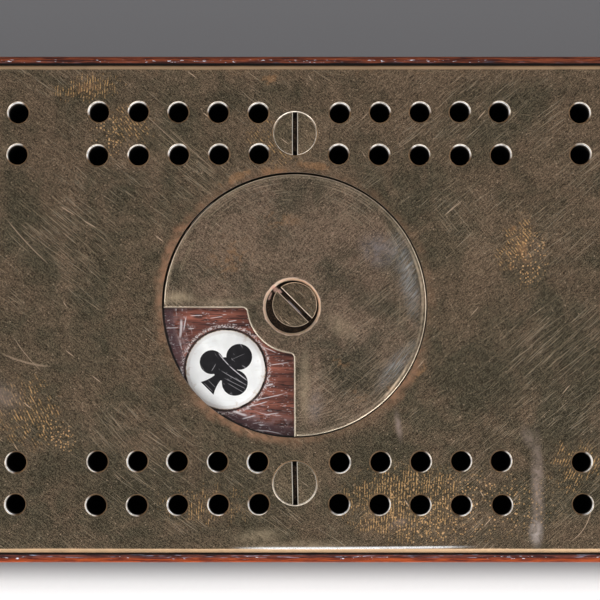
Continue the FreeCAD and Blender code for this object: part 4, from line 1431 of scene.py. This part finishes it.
# ---------------------------------------------------------------------------------------------
# Drawer box
# The front is rosewood to match the case. The lining is thin plain maple, dovetailed at both ends,
# with its bottom in grooves and two dividers in dadoes. It was left bare, and age has browned it.

MAPLE = ((0.26, 0.145, 0.062), (0.44, 0.275, 0.135), (0.56, 0.38, 0.21))
bare = {"gloss": 0.5, "coat": 0.0, "ring_size": 0.10, "pore_tone": 0.6}
lining_along = timber("lining_along", ALONG, MAPLE, **bare)
lining_across = timber("lining_across", ACROSS, MAPLE, **bare)
dress(lining_along, "drawer_side_back", "drawer_side_front", "drawer_bottom")
dress(lining_across, "drawer_back", "divider_rear", "divider_front")

UNWORN = (1, 0, 0)
pin_tones = {"cool": (0.30, 0.22, 0.11), "ruddy": (0.42, 0.29, 0.15)}
pin_brass = aged_brass("pin_brass", gloss=0.3, edge=UNWORN, **pin_tones)
dress(pin_brass, "drawer_bottom_pins", "knob_nut")

# ---------------------------------------------------------------------------------------------
# Drawer knob
# Turned brass with a thin rose, a waisted neck and a domed head. Its stem passes through the
# drawer front to a square nut inside. Fingers have kept it brighter than the plate.

KNOB_Z = 19.225
knob_profile = [(0, -8.1), (1.5, -8.1), (1.5, -0.02), (4.55, 0.0), (4.6, 0.25), (4.4, 0.62), (3.9, 0.9)]
knob_profile += [(3.2, 1.05), (2.5, 1.35), (2.12, 1.9), (2.0, 2.7), (2.05, 3.5), (2.3, 4.3), (2.9, 5.2)]
knob_profile += [(3.9, 6.2), (4.75, 6.95), (5.1, 7.45), (5.2, 7.9), (5.12, 8.4), (4.8, 9.1), (4.1, 9.9)]
knob_profile += [(3.1, 10.6), (1.9, 11.1), (0.8, 11.4), (0, 11.45)]
knob_mesh = to_mesh(turned_form(knob_profile, 64), "drawer_knob")
knob_mesh.transform(moved(HALF_LENGTH, 0, KNOB_Z, math.pi / 2, "Y"))
knob_tones = {"cool": (0.36, 0.255, 0.12), "ruddy": (0.56, 0.39, 0.19)}
knob_brass = aged_brass("knob_brass", gloss=0.24, edge=UNWORN, **knob_tones)
add_piece("drawer_knob", smoothed(knob_mesh, 50, knob_brass), "drawer", "knob")

# ---------------------------------------------------------------------------------------------
# Scoring pegs
# Two pairs of pegs turned from bone, one pair stained red, left lying on the floor of the small
# well behind the drawer front. Each has a slim tapered shank, a collar and a bulb to hold.

WELL_FLOOR = 8.3
WELL_MIDDLE = 94.2
PEG_SPACING = 9.0
PEG_LENGTH = 40.0
STEM_LENGTH = 27.0
COLLAR_RADIUS = 2.3
peg_profile = [(0, 0), (0.7, 0.0), (0.95, 0.2), (1.0, 0.6), (1.4, 9.0), (1.4, 26.2), (1.75, 26.7)]
peg_profile += [(2.15, STEM_LENGTH), (COLLAR_RADIUS, 27.3), (COLLAR_RADIUS, 28.3), (2.1, 28.6), (1.5, 28.7)]
peg_profile += [(1.15, 29.3), (1.1, 31.5), (1.12, 34.2), (1.4, 35.2), (1.85, 36.2), (2.0, 37.0), (1.95, 37.8)]
peg_profile += [(1.6, 38.8), (1.0, 39.6), (0.4, 39.95), (0, PEG_LENGTH)]
peg_mesh = to_mesh(turned_form(peg_profile, 32), "one_peg")
peg_mesh.transform(Matrix.Rotation(-math.pi / 2, 4, "X"))
tilt = math.atan2(COLLAR_RADIUS - 1.0, STEM_LENGTH)
peg_mesh.transform(moved(0, -STEM_LENGTH, COLLAR_RADIUS))
peg_mesh.transform(moved(0, STEM_LENGTH - PEG_LENGTH / 2, 0.02, tilt, "X"))
one_peg = bench_object("one_peg", smoothed(peg_mesh, 50))

red_bone = stained("red_bone", (0.24, 0.015, 0.010), (0.42, 0.035, 0.022), 0.1)
kinds = (("bone", 0, bone("bone_plain"), "bone"), ("red", 2, red_bone, "red_stain"))
for name, first, finish, slot in kinds:
    places = []
    for row in (first, first + 1):
        places.append((WELL_MIDDLE + (row - 1.5) * PEG_SPACING, 0, WELL_FLOOR))
    lying = bench_object("lying", marks_mesh("lying", places, [0.0, math.pi]))
    pair = work(lying, repeat, {"Copied": one_peg, "Finish": finish})
    clear_bench(lying)
    add_piece(f"turned_pegs_{name}", pair, "drawer", f"pegs_{name}")
clear_bench(one_peg)
